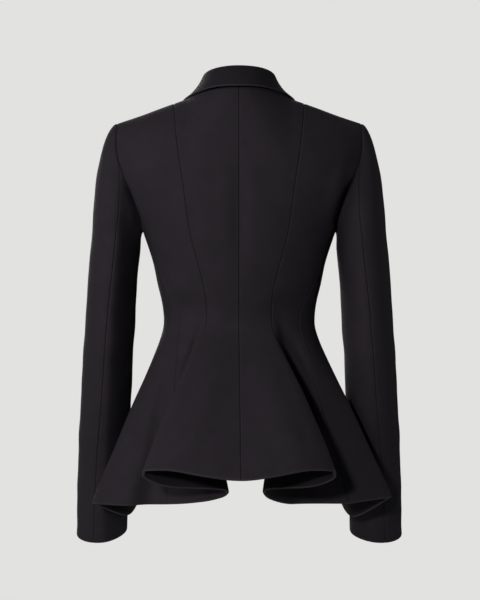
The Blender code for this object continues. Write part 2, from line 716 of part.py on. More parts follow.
def build_button(material):
    """A plain round button on the lapping front, its face turned to the front."""
    half = HALVES[1]
    middle, z = np.array([0.0]), np.array([BUTTON_Z])
    normal = body_normal(middle, z, FRONT)[0]
    centre = front_points(middle, z, half, BUTTON_CLEAR)[0]
    side = np.array([1.0, 0.0, 0.0])
    rise = unit(np.cross(normal, side))
    turns = np.linspace(0.0, 2.0 * math.pi, BUTTON_SIDES + 1)[:-1]
    rings = (
        (BUTTON_RADIUS - BUTTON_EDGE, 0.0),
        (BUTTON_RADIUS, BUTTON_EDGE),
        (BUTTON_RADIUS, BUTTON_THICK - BUTTON_EDGE),
        (BUTTON_RADIUS - BUTTON_EDGE, BUTTON_THICK),
    )
    points = []
    for radius, out in rings:
        for turn in turns:
            spoke = side * math.cos(turn) + rise * math.sin(turn)
            points.append(centre + spoke * radius + normal * out)
    faces = []
    for ring in range(len(rings) - 1):
        for i in range(BUTTON_SIDES):
            a, b = ring * BUTTON_SIDES + i, ring * BUTTON_SIDES + (i + 1) % BUTTON_SIDES
            faces.append((a, b, b + BUTTON_SIDES, a + BUTTON_SIDES))
    faces.append(tuple(reversed(range(BUTTON_SIDES))))
    last = (len(rings) - 1) * BUTTON_SIDES
    faces.append(tuple(range(last, last + BUTTON_SIDES)))
    add_mesh("button", points, faces, material)


def plain_material(name, colour, roughness):
    material = bpy.data.materials.new(name)
    material.use_nodes = True
    shader = material.node_tree.nodes["Principled BSDF"]
    shader.inputs["Base Color"].default_value = colour
    shader.inputs["Roughness"].default_value = roughness
    return material


def main():
    for item in list(bpy.data.objects):
        bpy.data.objects.remove(item)
    cloth = plain_material("cloth", CLOTH_COLOUR, 0.9)
    horn = plain_material("button", BUTTON_COLOUR, 0.35)
    for half in HALVES:
        body = half_body(half)
        build_body(half, body, cloth)
        build_sleeve(half, body, cloth)
        build_lapel(half, cloth)
    build_collar(cloth)
    build_button(horn)


main()
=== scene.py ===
"""Looks of the jacket with a fluted peplum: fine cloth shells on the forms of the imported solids.

Metres, +Z up, the front faces -Y and the wearer's left is +X. Each half is worked out with x measured
out from the middle, and then set on its own side. The photograph looks at the back, along -Y.
"""

import math
from collections import namedtuple

import bmesh
import bpy
import numpy as np
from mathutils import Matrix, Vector


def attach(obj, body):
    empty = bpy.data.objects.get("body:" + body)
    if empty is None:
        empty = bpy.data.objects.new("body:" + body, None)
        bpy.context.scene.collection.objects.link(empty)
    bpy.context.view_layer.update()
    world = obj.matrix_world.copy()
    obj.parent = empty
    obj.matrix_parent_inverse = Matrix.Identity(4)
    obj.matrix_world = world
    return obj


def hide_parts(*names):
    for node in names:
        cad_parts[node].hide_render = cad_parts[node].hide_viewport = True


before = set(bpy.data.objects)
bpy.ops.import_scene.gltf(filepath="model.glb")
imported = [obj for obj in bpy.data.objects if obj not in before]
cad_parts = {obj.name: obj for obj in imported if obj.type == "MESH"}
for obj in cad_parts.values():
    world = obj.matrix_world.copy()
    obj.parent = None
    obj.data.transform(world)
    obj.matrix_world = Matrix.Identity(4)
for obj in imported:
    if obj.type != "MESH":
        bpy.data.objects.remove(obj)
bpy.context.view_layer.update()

FULL_TURN = 2.0 * math.pi
SHORTEST = 1e-12
TOLERANCE = 1e-9


def table(columns, *rows):
    """Rows of a table, each with its columns named."""
    row = namedtuple("Row", columns)
    return tuple(row(*values) for values in rows)


# Cloth
WALL = 0.0018
SEAM_ROUND = 0.0002
ARMHOLE_ROUND = 0.0014
SEAM_DEPTH = 0.0012
SEAM_WIDTH = 0.0009
HEM_WALL = 0.0044
HEM_DEPTH = 0.036
HEM_STEP = 0.003
HEM_ROUND = 0.0019
EDGE_ROUND = 0.0007
RIM_ANGLES = (36.0, 72.0, 108.0, 144.0)

# Which face of the body a point is on
BACK = 1.0
FRONT = -1.0

# Body sections are superellipses of this power
SECTION_POWER = 2.3

# Fine columns and rows
PEPLUM_ROWS = 72
SIDE_ROWS = 30
ARMHOLE_ROWS = 60
COLUMNS_CLOSER = 0.82

# Shoulder seam, from the neck out to the sleeve
NECK_HALF = 0.061
NAPE_Z = 0.0215
NECK_SHARE = 0.6
SEAM_TOP_X = NECK_HALF / NECK_SHARE
SHOULDER_HALF = 0.191
SHOULDER_TIP_Z = -0.038
SHOULDER_SLOPE = 0.352
NECK_CLIMB_X = 0.082
NECK_CLIMB = 4.0
NECK_CLIMB_POWER = 1.5
SHOULDER_ROUND = 0.110
SHOULDER_ROUND_POWER = 2.2

# Steps for the body's normals
NORMAL_STEP = 0.0004
SHOULDER_SLIP = 0.0006
FACING_STEP = 0.00002

# Armhole
UNDERARM_Z = -0.207
UNDERARM_HALF = 0.151
ARMHOLE_WIDENS = 0.040
ARMHOLE_UPRIGHT_Z = -0.072
FRONT_HOLLOW = 0.008
EVEN_ABOVE_UNDERARM = 0.060
UNDERARM_ROWS_CLOSER = 0.35
UNDERARM_TRIM = 0.008
SINK_NONE_Z = -0.112
SINK_FULL_Z = -0.165
SINK_ENDS_Z = -0.198
SINK_TURN = 0.015
SEAM_TRIM = 0.0001

# Peplum
WAIST_Z = -0.348
PEPLUM_CLOSER = 1.2
FLARE_POWER = 0.9

# Front edges
LAP = 0.020
LAP_LIFT = 0.0030
LAP_LIFT_HEM = 0.004
LAP_FULL_X = 0.036
LAP_START_X = 0.075
BREAK_Z = -0.325

# Sleeve: the share of the way round of each seam, from the shoulder round the back
SLEEVE_BACK_SEAM = 0.25
SLEEVE_FRONT_SEAM = 0.65
UPPER_COLUMNS = 72
UNDER_COLUMNS = 56
CAP_ROWS = 36
CAP_ROWS_CLOSER = 1.3
ARM_ROWS = 96
CAP_DOWN = 0.30
CAP_TURN = 0.35
CAP_FOLD = 1.8
CAP_PUFF = 0.0012
CAP_PUFF_AT = 0.006
CAP_DIP = 0.5
CAP_TOP_SHARE = 0.04
BICEP_STEP = 0.01
INNER_TURNS = (95.0, 155.0, 190.0, 260.0)

# Collar
COLLAR_BACK_COLUMNS = 44
COLLAR_FRONT_COLUMNS = 40
GORGE_Z = -0.042
CREST_HALF = 0.051
CREST_BACK = 0.055
CREST_BACK_Z = 0.0465
CREST_SIDE_Z = 0.0415
CREST_LOW = 0.006
COLLAR_ROLL = 0.003
FALL_HALF = 0.0775
FALL_BACK_Z = 0.0098
FALL_FRONT = 0.052
FALL_SIDE_SLOPE = 0.60
GORGE_SLOPE = 0.42
FALL_LIFT_BACK = 0.0105
FALL_LIFT_SIDE = 0.0026
FALL_EDGE_POWER = 1.8
FALL_HOLLOW = 0.0030
FALL_ROWS = 30
FALL_FIRST_ROW = 2
ROLL_ROWS = 8
ROLL_END = 120.0
ROLL_SHOULDER = 0.8
STAND_ROWS = 12
STAND_CLEAR = 0.0008
STAND_ENDS = 0.5
NOTCH = 0.016
NOTCH_START = 0.6
COLLAR_SLIP = 0.0005
NECK_AXIS_Y = -0.010
COLLAR_WALL = 0.0030
COLLAR_ROUND = 0.0015
COLLAR_SMOOTH = 60

# Lapels
LAPEL_ROWS = 72
LAPEL_COLUMNS = 36
LAPEL_LIFT = 0.0019
LAPEL_GAP = 0.0012
LAPEL_ROLL = 0.0016
LAPEL_ROLL_POWER = 3

# Button and buttonhole
BUTTON_RADIUS = 0.012
BUTTON_THICK = 0.004
BUTTON_Z = -0.338
BUTTON_CLEAR = 0.0014
BUTTON_SIDES = 72
THREAD = 0.0005
THREAD_BEVEL = 3
STITCH_REACH = 0.0026
STITCH_TURNS = (45.0, 135.0)
BUTTONHOLE = 0.026
BUTTONHOLE_HALF = 0.0016
BUTTONHOLE_PAST = 0.004
BUTTONHOLE_STEPS = 64

# Rings of the button from its back to the dish in its front, as shares of its radius and thickness
BUTTON_PROFILE = table(
    "radius out",
    (0.70, 0.0),
    (0.93, 0.06),
    (1.00, 0.30),
    (1.00, 0.62),
    (0.96, 0.88),
    (0.88, 1.00),
    (0.80, 0.96),
    (0.70, 0.74),
    (0.55, 0.66),
)
BUTTON_DISH = 0.64

# Stage
PHOTO_WIDE = 0.942
CAMERA_DISTANCE = 3.0
CAMERA_X = -0.0012
CAMERA_Z = -0.314
SENSOR = 36.0
FLOOR_Z = -1.37
FLOOR_RADIUS = 1.5
FLOOR_SIDES = 96
DOME_RADIUS = 9.0
DOME_SIDES = 48

# Body sections from the waist up: half the width, and the depths behind and in front
LEVELS = table(
    "name z half_width back front",
    ("waist", WAIST_Z, 0.1180, 0.084, 0.106),
    ("ribs", -0.286, 0.1280, 0.095, 0.118),
    ("under_bust", -0.240, 0.1395, 0.104, 0.127),
    ("underarm", UNDERARM_Z, UNDERARM_HALF, 0.109, 0.130),
    ("chest", -0.165, 0.1710, 0.113, 0.125),
    ("blade", -0.122, 0.1960, 0.114, 0.113),
    ("yoke", -0.080, 0.2060, 0.108, 0.099),
    ("shoulder", SHOULDER_TIP_Z, 0.2080, 0.095, 0.084),
    ("neck", 0.010, 0.2080, 0.072, 0.066),
    ("nape", 0.026, 0.2080, 0.058, 0.055),
)

# Where the long seams run: x of the two princess seams, angle of the side seam from the back
SEAMS = table(
    "z back_x front_x side_angle",
    (WAIST_Z, 0.0505, 0.062, 50.0),
    (-0.314, 0.0510, 0.066, 57.0),
    (-0.286, 0.0560, 0.072, 63.0),
    (-0.240, 0.0675, 0.086, 76.0),
    (UNDERARM_Z, 0.0755, 0.092, 90.0),
    (-0.146, 0.0840, 0.096, 90.0),
    (-0.067, 0.0955, 0.099, 90.0),
    (-0.010, SEAM_TOP_X, SEAM_TOP_X, 90.0),
)

# Hem folds from the centre back round to the front edge, close to those of the solids. The whole part of
# at is the panel's number, turn is the slope of y, soft is how slowly the fold leaves the waist, and bow is
# how far it swells on its way.
FOLDS = table(
    "name at left_x right_x left_y right_y left_turn right_turn left_z right_z soft bow",
    ("centre_back", 0.00, -0.003, 0.003, 0.240, 0.240, 0.00, 0.00, -0.5728, -0.5728, 0.16, 0.04),
    ("flute_side", 0.55, 0.106, 0.106, 0.229, 0.229, -0.055, -0.055, -0.5585, -0.5585, 0.14, 0.04),
    ("ridge_1", 0.90, 0.1405, 0.1405, 0.203, 0.203, -0.12, -0.12, -0.5620, -0.5620, 0.10, 0.04),
    ("tip_1", 0.97, 0.1430, 0.1432, 0.1935, 0.1935, -0.125, -0.125, -0.5705, -0.5715, 0.10, 0.035),
    ("return_1", 1.12, 0.106, 0.108, 0.173, 0.173, -0.13, -0.13, -0.589, -0.589, 0.10, 0.02),
    ("valley_1_over", 1.38, 0.0235, 0.0435, 0.1358, 0.1358, -0.13, -0.13, -0.5985, -0.5975, 0.10, 0.00),
    ("valley_1", 1.44, 0.0200, 0.0400, 0.128, 0.128, -0.13, -0.13, -0.603, -0.602, 0.10, 0.00),
    ("valley_1_under", 1.50, 0.0240, 0.0450, 0.1212, 0.1170, -0.10, -0.26, -0.6085, -0.6110, 0.10, 0.00),
    ("under_flute", 1.64, 0.055, 0.082, 0.115, 0.079, -0.06, -0.12, -0.6170, -0.6245, 0.10, 0.00),
    ("side_seam", 2.00, 0.111, 0.167, 0.092, 0.088, -0.12, 0.03, -0.6232, -0.6228, 0.11, 0.00),
    ("side_hollow", 2.08, 0.137, 0.185, 0.0815, 0.0895, 0.00, 0.00, -0.6245, -0.6195, 0.11, 0.00),
    ("side_crest", 2.19, 0.170, 0.210, 0.0925, 0.088, -0.03, -0.03, -0.625, -0.616, 0.12, 0.00),
    ("ridge_2", 2.33, 0.227, 0.2335, 0.055, 0.079, -0.20, -0.12, -0.625, -0.613, 0.13, 0.00),
    ("valley_2", 2.61, 0.178, 0.180, 0.000, 0.000, -0.30, -0.30, -0.650, -0.652, 0.13, 0.00),
    ("ridge_3", 3.00, 0.150, 0.150, -0.178, -0.178, -0.15, -0.15, -0.612, -0.612, 0.11, 0.00),
    ("front_dip", 3.45, 0.078, 0.078, -0.184, -0.184, 0.02, 0.02, -0.604, -0.604, 0.10, 0.00),
    ("centre_front", 3.84, 0.000, 0.000, -0.203, -0.203, 0.00, 0.00, -0.600, -0.600, 0.10, 0.00),
    ("front_edge", 4.00, -LAP, -LAP, -0.1995, -0.1995, 0.03, 0.03, -0.600, -0.600, 0.10, 0.00),
)

# Sleeve sections below the armhole
ARM = table(
    "name z x y half_width half_depth drop_back drop_out drift",
    ("bicep", -0.235, 0.1936, 0.004, 0.0392, 0.062, 0.000, 0.000, 4.0),
    ("above_elbow", -0.300, 0.1990, 0.004, 0.0390, 0.059, 0.001, 0.000, 7.0),
    ("elbow", -0.373, 0.2036, 0.002, 0.0392, 0.056, 0.003, 0.001, 10.0),
    ("forearm", -0.450, 0.2086, -0.010, 0.0398, 0.052, 0.006, 0.002, 12.0),
    ("wrist", -0.560, 0.2154, -0.038, 0.0406, 0.047, 0.010, 0.003, 16.0),
    ("cuff", -0.686, 0.2206, -0.072, 0.0410, 0.043, 0.0120, 0.002, 19.0),
)

# Line of the sleeve's back seam, and how far round the columns beside it follow it
SLEEVE_SEAM = table(
    "z x",
    (-0.700, 0.2320),
    (-0.564, 0.2227),
    (-0.469, 0.2131),
    (-0.376, 0.2056),
    (-0.314, 0.1998),
    (-0.268, 0.1946),
    (-0.222, 0.1897),
    (-0.165, 0.1842),
    (-0.130, 0.1844),
    (-0.100, 0.1870),
)
SLEEVE_SEAM_SEARCH = (0.10, 0.42)
SLEEVE_SEAM_TRIES = 200
SLEEVE_SEAM_REACH = 0.13

# Lapel width along the roll line, from its foot to the gorge, and the fall of its rows
LAPEL = table(
    "share width slope",
    (0.00, 0.004, 0.00),
    (0.25, 0.028, 0.02),
    (0.50, 0.048, 0.08),
    (0.75, 0.066, 0.22),
    (1.00, 0.076, GORGE_SLOPE),
)

# The two halves: the right front laps over the left one, the sleeves' heads and inner sides differ a
# little, and beside the armhole the cloth sinks by so much, over so wide a reach of body and sleeve
HALVES = table(
    "name sign laps lapel_foot_z cap_out inner_forward inner_out sink body_reach sleeve_reach",
    ("left", 1.0, False, -0.236, 0.52, 0.024, 0.0020, 0.012, 0.004, 0.020),
    ("right", -1.0, True, -0.316, 0.45, 0.010, -0.0014, 0.020, 0.012, 0.004),
)
LAPPING_HALF = HALVES[1]

# Where a crease can be: the panels that it crosses and the way that the cloth faces there
CreasePlace = namedtuple("CreasePlace", "panels face")
CREASE_PLACES = {
    "back": CreasePlace(("back", "side_back"), BACK),
    "waist": CreasePlace(("back", "side_back", "side_front"), BACK),
    "side": CreasePlace(("side_back", "side_front"), BACK),
    "front": CreasePlace(("side_front", "front"), FRONT),
}
CREASE_FACING = 0.35

# Soft creases of the body: troughs have a depth below 0 and ridges above it. The ends are x out from
# the middle and z, the bend is how far the middle of the crease swings aside.
BODY_CREASES = table(
    "half place x0 z0 x1 z1 bend width depth",
    ("left", "back", 0.000, -0.045, 0.000, -0.335, 0.000, 0.013, -0.0038),
    ("right", "back", 0.000, -0.045, 0.000, -0.335, 0.000, 0.013, -0.0038),
    ("left", "waist", 0.140, -0.326, 0.020, -0.336, 0.000, 0.020, -0.0058),
    ("right", "waist", 0.140, -0.322, 0.020, -0.334, 0.000, 0.022, -0.0066),
    ("left", "back", 0.182, -0.070, 0.146, -0.215, 0.000, 0.010, 0.0016),
    ("right", "back", 0.167, -0.080, 0.128, -0.215, 0.000, 0.011, 0.0045),
    ("right", "side", 0.054, -0.328, 0.124, -0.500, 0.000, 0.012, -0.0110),
    ("right", "side", 0.057, -0.334, 0.104, -0.440, 0.000, 0.006, -0.0060),
    ("left", "side", 0.046, -0.318, 0.108, -0.482, 0.000, 0.0045, -0.0050),
    ("left", "back", 0.148, -0.150, 0.104, -0.236, 0.006, 0.012, -0.0010),
    ("left", "back", 0.134, -0.190, 0.092, -0.262, 0.004, 0.010, 0.0007),
    ("left", "waist", 0.112, -0.296, 0.056, -0.312, 0.003, 0.007, -0.0009),
    ("left", "waist", 0.104, -0.330, 0.050, -0.334, -0.003, 0.006, 0.0007),
    ("left", "back", 0.042, -0.300, 0.006, -0.306, 0.002, 0.006, -0.0005),
    ("left", "back", 0.032, -0.372, 0.062, -0.560, -0.006, 0.014, 0.0012),
    ("left", "back", 0.066, -0.420, 0.104, -0.566, -0.004, 0.013, -0.0012),
    ("right", "back", 0.146, -0.156, 0.108, -0.232, 0.005, 0.011, -0.0009),
    ("right", "waist", 0.120, -0.276, 0.060, -0.300, 0.004, 0.008, -0.0010),
    ("right", "waist", 0.110, -0.318, 0.056, -0.326, 0.002, 0.006, 0.0007),
    ("right", "back", 0.046, -0.310, 0.010, -0.302, -0.002, 0.006, -0.0005),
    ("right", "back", 0.046, -0.390, 0.074, -0.560, -0.004, 0.016, 0.0010),
    ("right", "back", 0.082, -0.450, 0.112, -0.566, -0.003, 0.012, -0.0010),
    ("left", "front", 0.146, -0.150, 0.104, -0.206, 0.006, 0.011, -0.0011),
    ("left", "front", 0.110, -0.300, 0.052, -0.322, 0.004, 0.008, -0.0010),
    ("left", "front", 0.098, -0.334, 0.030, -0.338, 0.003, 0.006, 0.0007),
    ("right", "front", 0.142, -0.156, 0.108, -0.214, 0.005, 0.012, -0.0010),
    ("right", "front", 0.114, -0.306, 0.040, -0.328, 0.004, 0.009, -0.0011),
    ("right", "front", 0.094, -0.326, 0.026, -0.340, -0.003, 0.006, 0.0008),
)

# Soft creases of the sleeves: the ends are degrees round the arm from its outside by the back, and z
ARM_CREASES = table(
    "half turn0 z0 turn1 z1 bend width depth",
    ("left", 40.0, -0.200, 96.0, -0.236, 0.006, 0.010, -0.0010),
    ("left", 70.0, -0.330, 150.0, -0.352, 0.006, 0.011, -0.0014),
    ("left", 62.0, -0.372, 140.0, -0.384, -0.005, 0.012, 0.0010),
    ("left", 84.0, -0.410, 160.0, -0.432, 0.007, 0.012, -0.0012),
    ("left", 60.0, -0.520, 130.0, -0.560, 0.006, 0.014, -0.0008),
    ("left", 200.0, -0.340, 290.0, -0.366, 0.006, 0.011, -0.0015),
    ("left", 190.0, -0.392, 270.0, -0.404, -0.004, 0.010, 0.0011),
    ("right", 44.0, -0.214, 104.0, -0.240, 0.005, 0.010, -0.0010),
    ("right", 66.0, -0.346, 146.0, -0.362, 0.007, 0.012, -0.0013),
    ("right", 74.0, -0.392, 152.0, -0.412, -0.005, 0.011, 0.0010),
    ("right", 80.0, -0.440, 150.0, -0.470, 0.006, 0.013, -0.0010),
    ("right", 210.0, -0.352, 300.0, -0.372, 0.006, 0.012, -0.0014),
    ("right", 196.0, -0.402, 280.0, -0.418, -0.005, 0.010, 0.0010),
)

# Unevenness of the whole cloth: waves of these lengths in random directions
WAVES = 9
WAVE_SHORT = 0.035
WAVE_LONG = 0.095
WAVE_HEIGHT = 0.00016
WAVE_SEED = 11


# Helpers


def column(rows, name):
    return np.array([getattr(row, name) for row in rows], float)


def xyz(x, y, z):
    return np.stack([x, y, z], axis=-1)


def unit(vectors):
    return vectors / np.maximum(np.linalg.norm(vectors, axis=-1, keepdims=True), SHORTEST)


def ease(low, high, value):
    share = np.clip((value - low) / (high - low), 0.0, 1.0)
    return share * share * (3.0 - 2.0 * share)


def cubic_weights(t):
    """Shares of a cubic's start, end, first slope and last slope at t of the way along it."""
    left = 1.0 - t
    return (1.0 + 2.0 * t) * left**2, t * t * (3.0 - 2.0 * t), t * left**2, t * t * (t - 1.0)


def cubic_line(places, values, slopes):
    """A function that passes through the values with the slopes given."""
    steps = np.diff(places)

    def line(place):
        place = np.clip(place, places[0], places[-1])
        i = np.clip(np.searchsorted(places, place, side="right") - 1, 0, len(steps) - 1)
        start, end, first, last = cubic_weights((place - places[i]) / steps[i])
        ends = start * values[i] + end * values[i + 1]
        return ends + first * slopes[i] * steps[i] + last * slopes[i + 1] * steps[i]

    return line


def smooth_line(places, values, flat_start=False, flat_end=False):
    """A function through the values that never swings past them."""
    rises = np.diff(values) / np.diff(places)
    slopes = np.zeros(len(values))
    slopes[0] = 0.0 if flat_start else rises[0]
    slopes[-1] = 0.0 if flat_end else rises[-1]
    for i in range(1, len(values) - 1):
        before, after = rises[i - 1], rises[i]
        if before * after > 0.0:
            slopes[i] = 2.0 * before * after / (before + after)
    return cubic_line(places, values, slopes)


def table_line(rows, along, name, **flat_ends):
    """A smooth line through one column of a table, along another."""
    return smooth_line(column(rows, along), column(rows, name), **flat_ends)


half_width = table_line(LEVELS, "z", "half_width", flat_start=True)
back_depth = table_line(LEVELS, "z", "back", flat_start=True)
front_depth = table_line(LEVELS, "z", "front", flat_start=True)
back_seam_x = table_line(SEAMS, "z", "back_x", flat_start=True)
front_seam_x = table_line(SEAMS, "z", "front_x", flat_start=True)
side_angle = smooth_line(column(SEAMS, "z"), np.radians(column(SEAMS, "side_angle")))


# Body surface above the waist


def shoulder_z(x):
    """Height of the shoulder seam, carried on to the middle above the neck."""
    climb = NECK_CLIMB * np.maximum(0.0, NECK_CLIMB_X - x) ** NECK_CLIMB_POWER
    return SHOULDER_TIP_Z + SHOULDER_SLOPE * (SHOULDER_HALF - x) + climb


def shoulder_round(drop):
    """Share of the body's depth that is reached at a drop below the shoulder seam."""
    left = np.clip(1.0 - drop / SHOULDER_ROUND, 0.0, 1.0)
    return (1.0 - left**SHOULDER_ROUND_POWER) ** (1.0 / SHOULDER_ROUND_POWER)


def depth_at(z, face):
    return np.where(face > 0.0, back_depth(z), front_depth(z))


def body_y(x, z, face):
    share = np.clip(np.abs(x) / half_width(z), 0.0, 1.0)
    section = (1.0 - share**SECTION_POWER) ** (1.0 / SECTION_POWER)
    return face * depth_at(z, face) * section * shoulder_round(shoulder_z(np.abs(x)) - z)


def body_normal(x, z, face):
    """Outward normal of the body at x and z."""
    step = NORMAL_STEP
    y_in, y_out = body_y(x - step, z, face), body_y(x + step, z, face)
    y_low, y_high = body_y(x, z - step, face), body_y(x, z + step, face)
    across = (y_out - y_in) / (2.0 * step)
    up = (y_high - y_low) / (2.0 * step)
    return unit(xyz(-across * face, face * np.ones_like(across), -up * face))


def body_facing(points):
    """Outward normals at points on the body, also at its sides and along the shoulder seam."""
    face = np.where(points[..., 1] >= 0.0, BACK, FRONT)
    x = points[..., 0]
    z = np.minimum(points[..., 2], shoulder_z(np.abs(x)) - SHOULDER_SLIP)
    y = body_y(x, z, face)

    def fullness(x, y, z):
        depth = depth_at(z, face) * shoulder_round(shoulder_z(np.abs(x)) - z)
        return (np.abs(x) / half_width(z)) ** SECTION_POWER + (np.abs(y) / depth) ** SECTION_POWER

    step = FACING_STEP
    slopes = (
        fullness(x + step, y, z) - fullness(x - step, y, z),
        fullness(x, y + step, z) - fullness(x, y - step, z),
        fullness(x, y, z + step) - fullness(x, y, z - step),
    )
    return unit(xyz(*slopes))


def angle_at(x, z, face):
    """Angle round the section, from the centre back, of the point at x."""
    share = np.clip(np.abs(x) / half_width(z), 0.0, 1.0)
    turn = np.arcsin(share ** (SECTION_POWER / 2.0)) * np.sign(x)
    return turn if face > 0.0 else math.pi - turn


def ring_point(angle, z):
    sine, cosine = np.sin(angle), np.cos(angle)
    x = half_width(z) * np.sign(sine) * np.abs(sine) ** (2.0 / SECTION_POWER)
    y = depth_at(z, cosine) * np.sign(cosine) * np.abs(cosine) ** (2.0 / SECTION_POWER)
    y = y * shoulder_round(shoulder_z(np.abs(x)) - z)
    return xyz(x, y, z * np.ones_like(x))


def armhole_x(z, face):
    x = UNDERARM_HALF + ARMHOLE_WIDENS * ease(UNDERARM_Z, ARMHOLE_UPRIGHT_Z, z)
    if face > 0.0:
        return x
    share = np.clip((z - UNDERARM_Z) / (SHOULDER_TIP_Z - UNDERARM_Z), 0.0, 1.0)
    return x - FRONT_HOLLOW * np.sin(math.pi * share)


def roll_x(z):
    """x of the front edge: straight up to the break, then along the roll line to the neck."""
    neck_z = float(shoulder_z(NECK_HALF))
    share = np.clip((z - BREAK_Z) / (neck_z - BREAK_Z), 0.0, 1.0)
    return -LAP + (NECK_HALF + LAP) * share


EDGE_LINES = {
    "back_seam": (back_seam_x, BACK),
    "front_seam": (front_seam_x, FRONT),
    "front_edge": (roll_x, FRONT),
}


def edge_angle(name, z, trim):
    """Angle round the section of a panel's edge at height z, straight for a trim above the underarm."""
    if name == "centre_back":
        return np.zeros_like(z)
    if name in EDGE_LINES:
        line, face = EDGE_LINES[name]
        return angle_at(line(z), z, face)
    face = BACK if name == "side_back_edge" else FRONT
    straight_z = np.maximum(z, UNDERARM_Z + trim)
    angle = angle_at(armhole_x(straight_z, face), straight_z, face)
    share = np.clip((z - UNDERARM_Z) / trim, 0.0, 1.0)
    angle = math.pi / 2.0 + (angle - math.pi / 2.0) * share
    return np.where(z <= UNDERARM_Z, side_angle(z), angle)


def neckline_z(x):
    """Height of the back neckline."""
    return NAPE_Z + (shoulder_z(NECK_HALF) - NAPE_Z) * (x / NECK_HALF) ** 2


# Panels of the body

PANELS = table(
    "name number face start end top_start top_end columns",
    ("back", 0, BACK, "centre_back", "back_seam", 0.0, SEAM_TOP_X, 64),
    ("side_back", 1, BACK, "back_seam", "side_back_edge", SEAM_TOP_X, SHOULDER_HALF, 88),
    ("side_front", 2, FRONT, "side_front_edge", "front_seam", SHOULDER_HALF, SEAM_TOP_X, 92),
    ("front", 3, FRONT, "front_seam", "front_edge", SEAM_TOP_X, NECK_HALF, 60),
)


def column_shares(count):
    """Places of the columns across a panel, closer together at both edges."""
    t = np.linspace(0.0, 1.0, count + 1)
    return t - COLUMNS_CLOSER * np.sin(FULL_TURN * t) / FULL_TURN


def panel_shares(panel):
    shares = column_shares(panel.columns)
    if panel.name == "back":
        shares[np.argmin(np.abs(shares - NECK_SHARE))] = NECK_SHARE
    return shares


def row_shares():
    """Heights of the rows from the waist to the shoulder, closer at both ends of the armhole."""
    rise = SHOULDER_TIP_Z - WAIST_Z
    side = np.linspace(0.0, (UNDERARM_Z - WAIST_Z) / rise, SIDE_ROWS + 1)
    t = np.linspace(0.0, 1.0, ARMHOLE_ROWS + 1)[1:]
    climb = UNDERARM_ROWS_CLOSER * t * (1.0 - t) ** 2 + t * t * (3.0 - 2.0 * t)
    return np.concatenate([side, side[-1] + (1.0 - side[-1]) * climb])


def armhole_z(turn):
    middle = (SHOULDER_TIP_Z + UNDERARM_Z) / 2.0
    reach = (SHOULDER_TIP_Z - UNDERARM_Z) / 2.0
    return middle - reach * np.cos(turn)


def panel_top_z(panel, shares):
    x = panel.top_start + (panel.top_end - panel.top_start) * shares
    top = shoulder_z(x)
    if panel.name == "back":
        inside = x < NECK_HALF - TOLERANCE
        top = np.where(inside, neckline_z(x), top)
    return top


def panel_body(panel, shares):
    """Points of a panel from the waist to the shoulder, rows by columns."""
    top = panel_top_z(panel, shares)
    z = WAIST_Z + row_shares()[:, None] * (top - WAIST_Z)[None, :]
    z_start, z_end = z[:, :1], z[:, -1:]
    start = edge_angle(panel.start, z_start, UNDERARM_TRIM)
    end = edge_angle(panel.end, z_end, UNDERARM_TRIM)
    by_angle = start + (end - start) * shares
    x_start, x_end = ring_point(start, z_start)[..., 0], ring_point(end, z_end)[..., 0]
    by_width = angle_at(x_start + (x_end - x_start) * shares, z, panel.face)
    upper = ease(UNDERARM_Z, UNDERARM_Z + EVEN_ABOVE_UNDERARM, z)
    return ring_point(by_angle + (by_width - by_angle) * upper, z)


def hem_lines(half):
    x = table_line(FOLDS, "at", half.name + "_x")
    turns = column(FOLDS, half.name + "_turn")
    y = cubic_line(column(FOLDS, "at"), column(FOLDS, half.name + "_y"), turns)
    z = table_line(FOLDS, "at", half.name + "_z", flat_start=True, flat_end=True)
    return x, y, z


def flare(drop, at):
    """Share of the way out to the hem that the peplum has gone at a share of its drop."""
    soft = table_line(FOLDS, "at", "soft")(at)
    bow = table_line(FOLDS, "at", "bow")(at)
    out = (np.sqrt(drop * drop + soft**2) - soft) / (np.sqrt(1.0 + soft**2) - soft)
    return out**FLARE_POWER + bow * math.sin(math.pi * drop)


def panel_peplum(panel, shares, waist, half):
    """Points of a panel from the hem up to just under the waist, rows by columns."""
    at = panel.number + shares
    hem = xyz(*(line(at) for line in hem_lines(half)))
    rows = []
    for drop in np.linspace(1.0, 0.0, PEPLUM_ROWS + 1)[:-1] ** PEPLUM_CLOSER:
        row = waist + (hem - waist) * flare(drop, at)[:, None]
        row[:, 2] = waist[:, 2] + (hem[:, 2] - waist[:, 2]) * drop
        rows.append(row)
    return np.array(rows)


def lap_lift(x, z, half):
    """How far forward the lapping front stands off the body."""
    if not half.laps:
        return np.zeros_like(x)
    lift = LAP_LIFT + LAP_LIFT_HEM * ease(WAIST_Z, FOLDS[-1].left_z, z)
    return lift * (1.0 - ease(LAP_FULL_X, LAP_START_X, x))


def panel_points(panel, half):
    shares = panel_shares(panel)
    body = panel_body(panel, shares)
    points = np.concatenate([panel_peplum(panel, shares, body[0], half), body])
    if panel.name == "front":
        points[..., 1] -= lap_lift(points[..., 0], points[..., 2], half)
    return points


def grid_normals(points, wraps=False):
    """Normals of a grid of points, from the rows and columns beside each point."""
    along = np.gradient(points, axis=0)
    across = np.gradient(points, axis=1)
    if wraps:
        across = np.roll(points, -1, axis=1) - np.roll(points, 1, axis=1)
    return unit(np.cross(along, across))


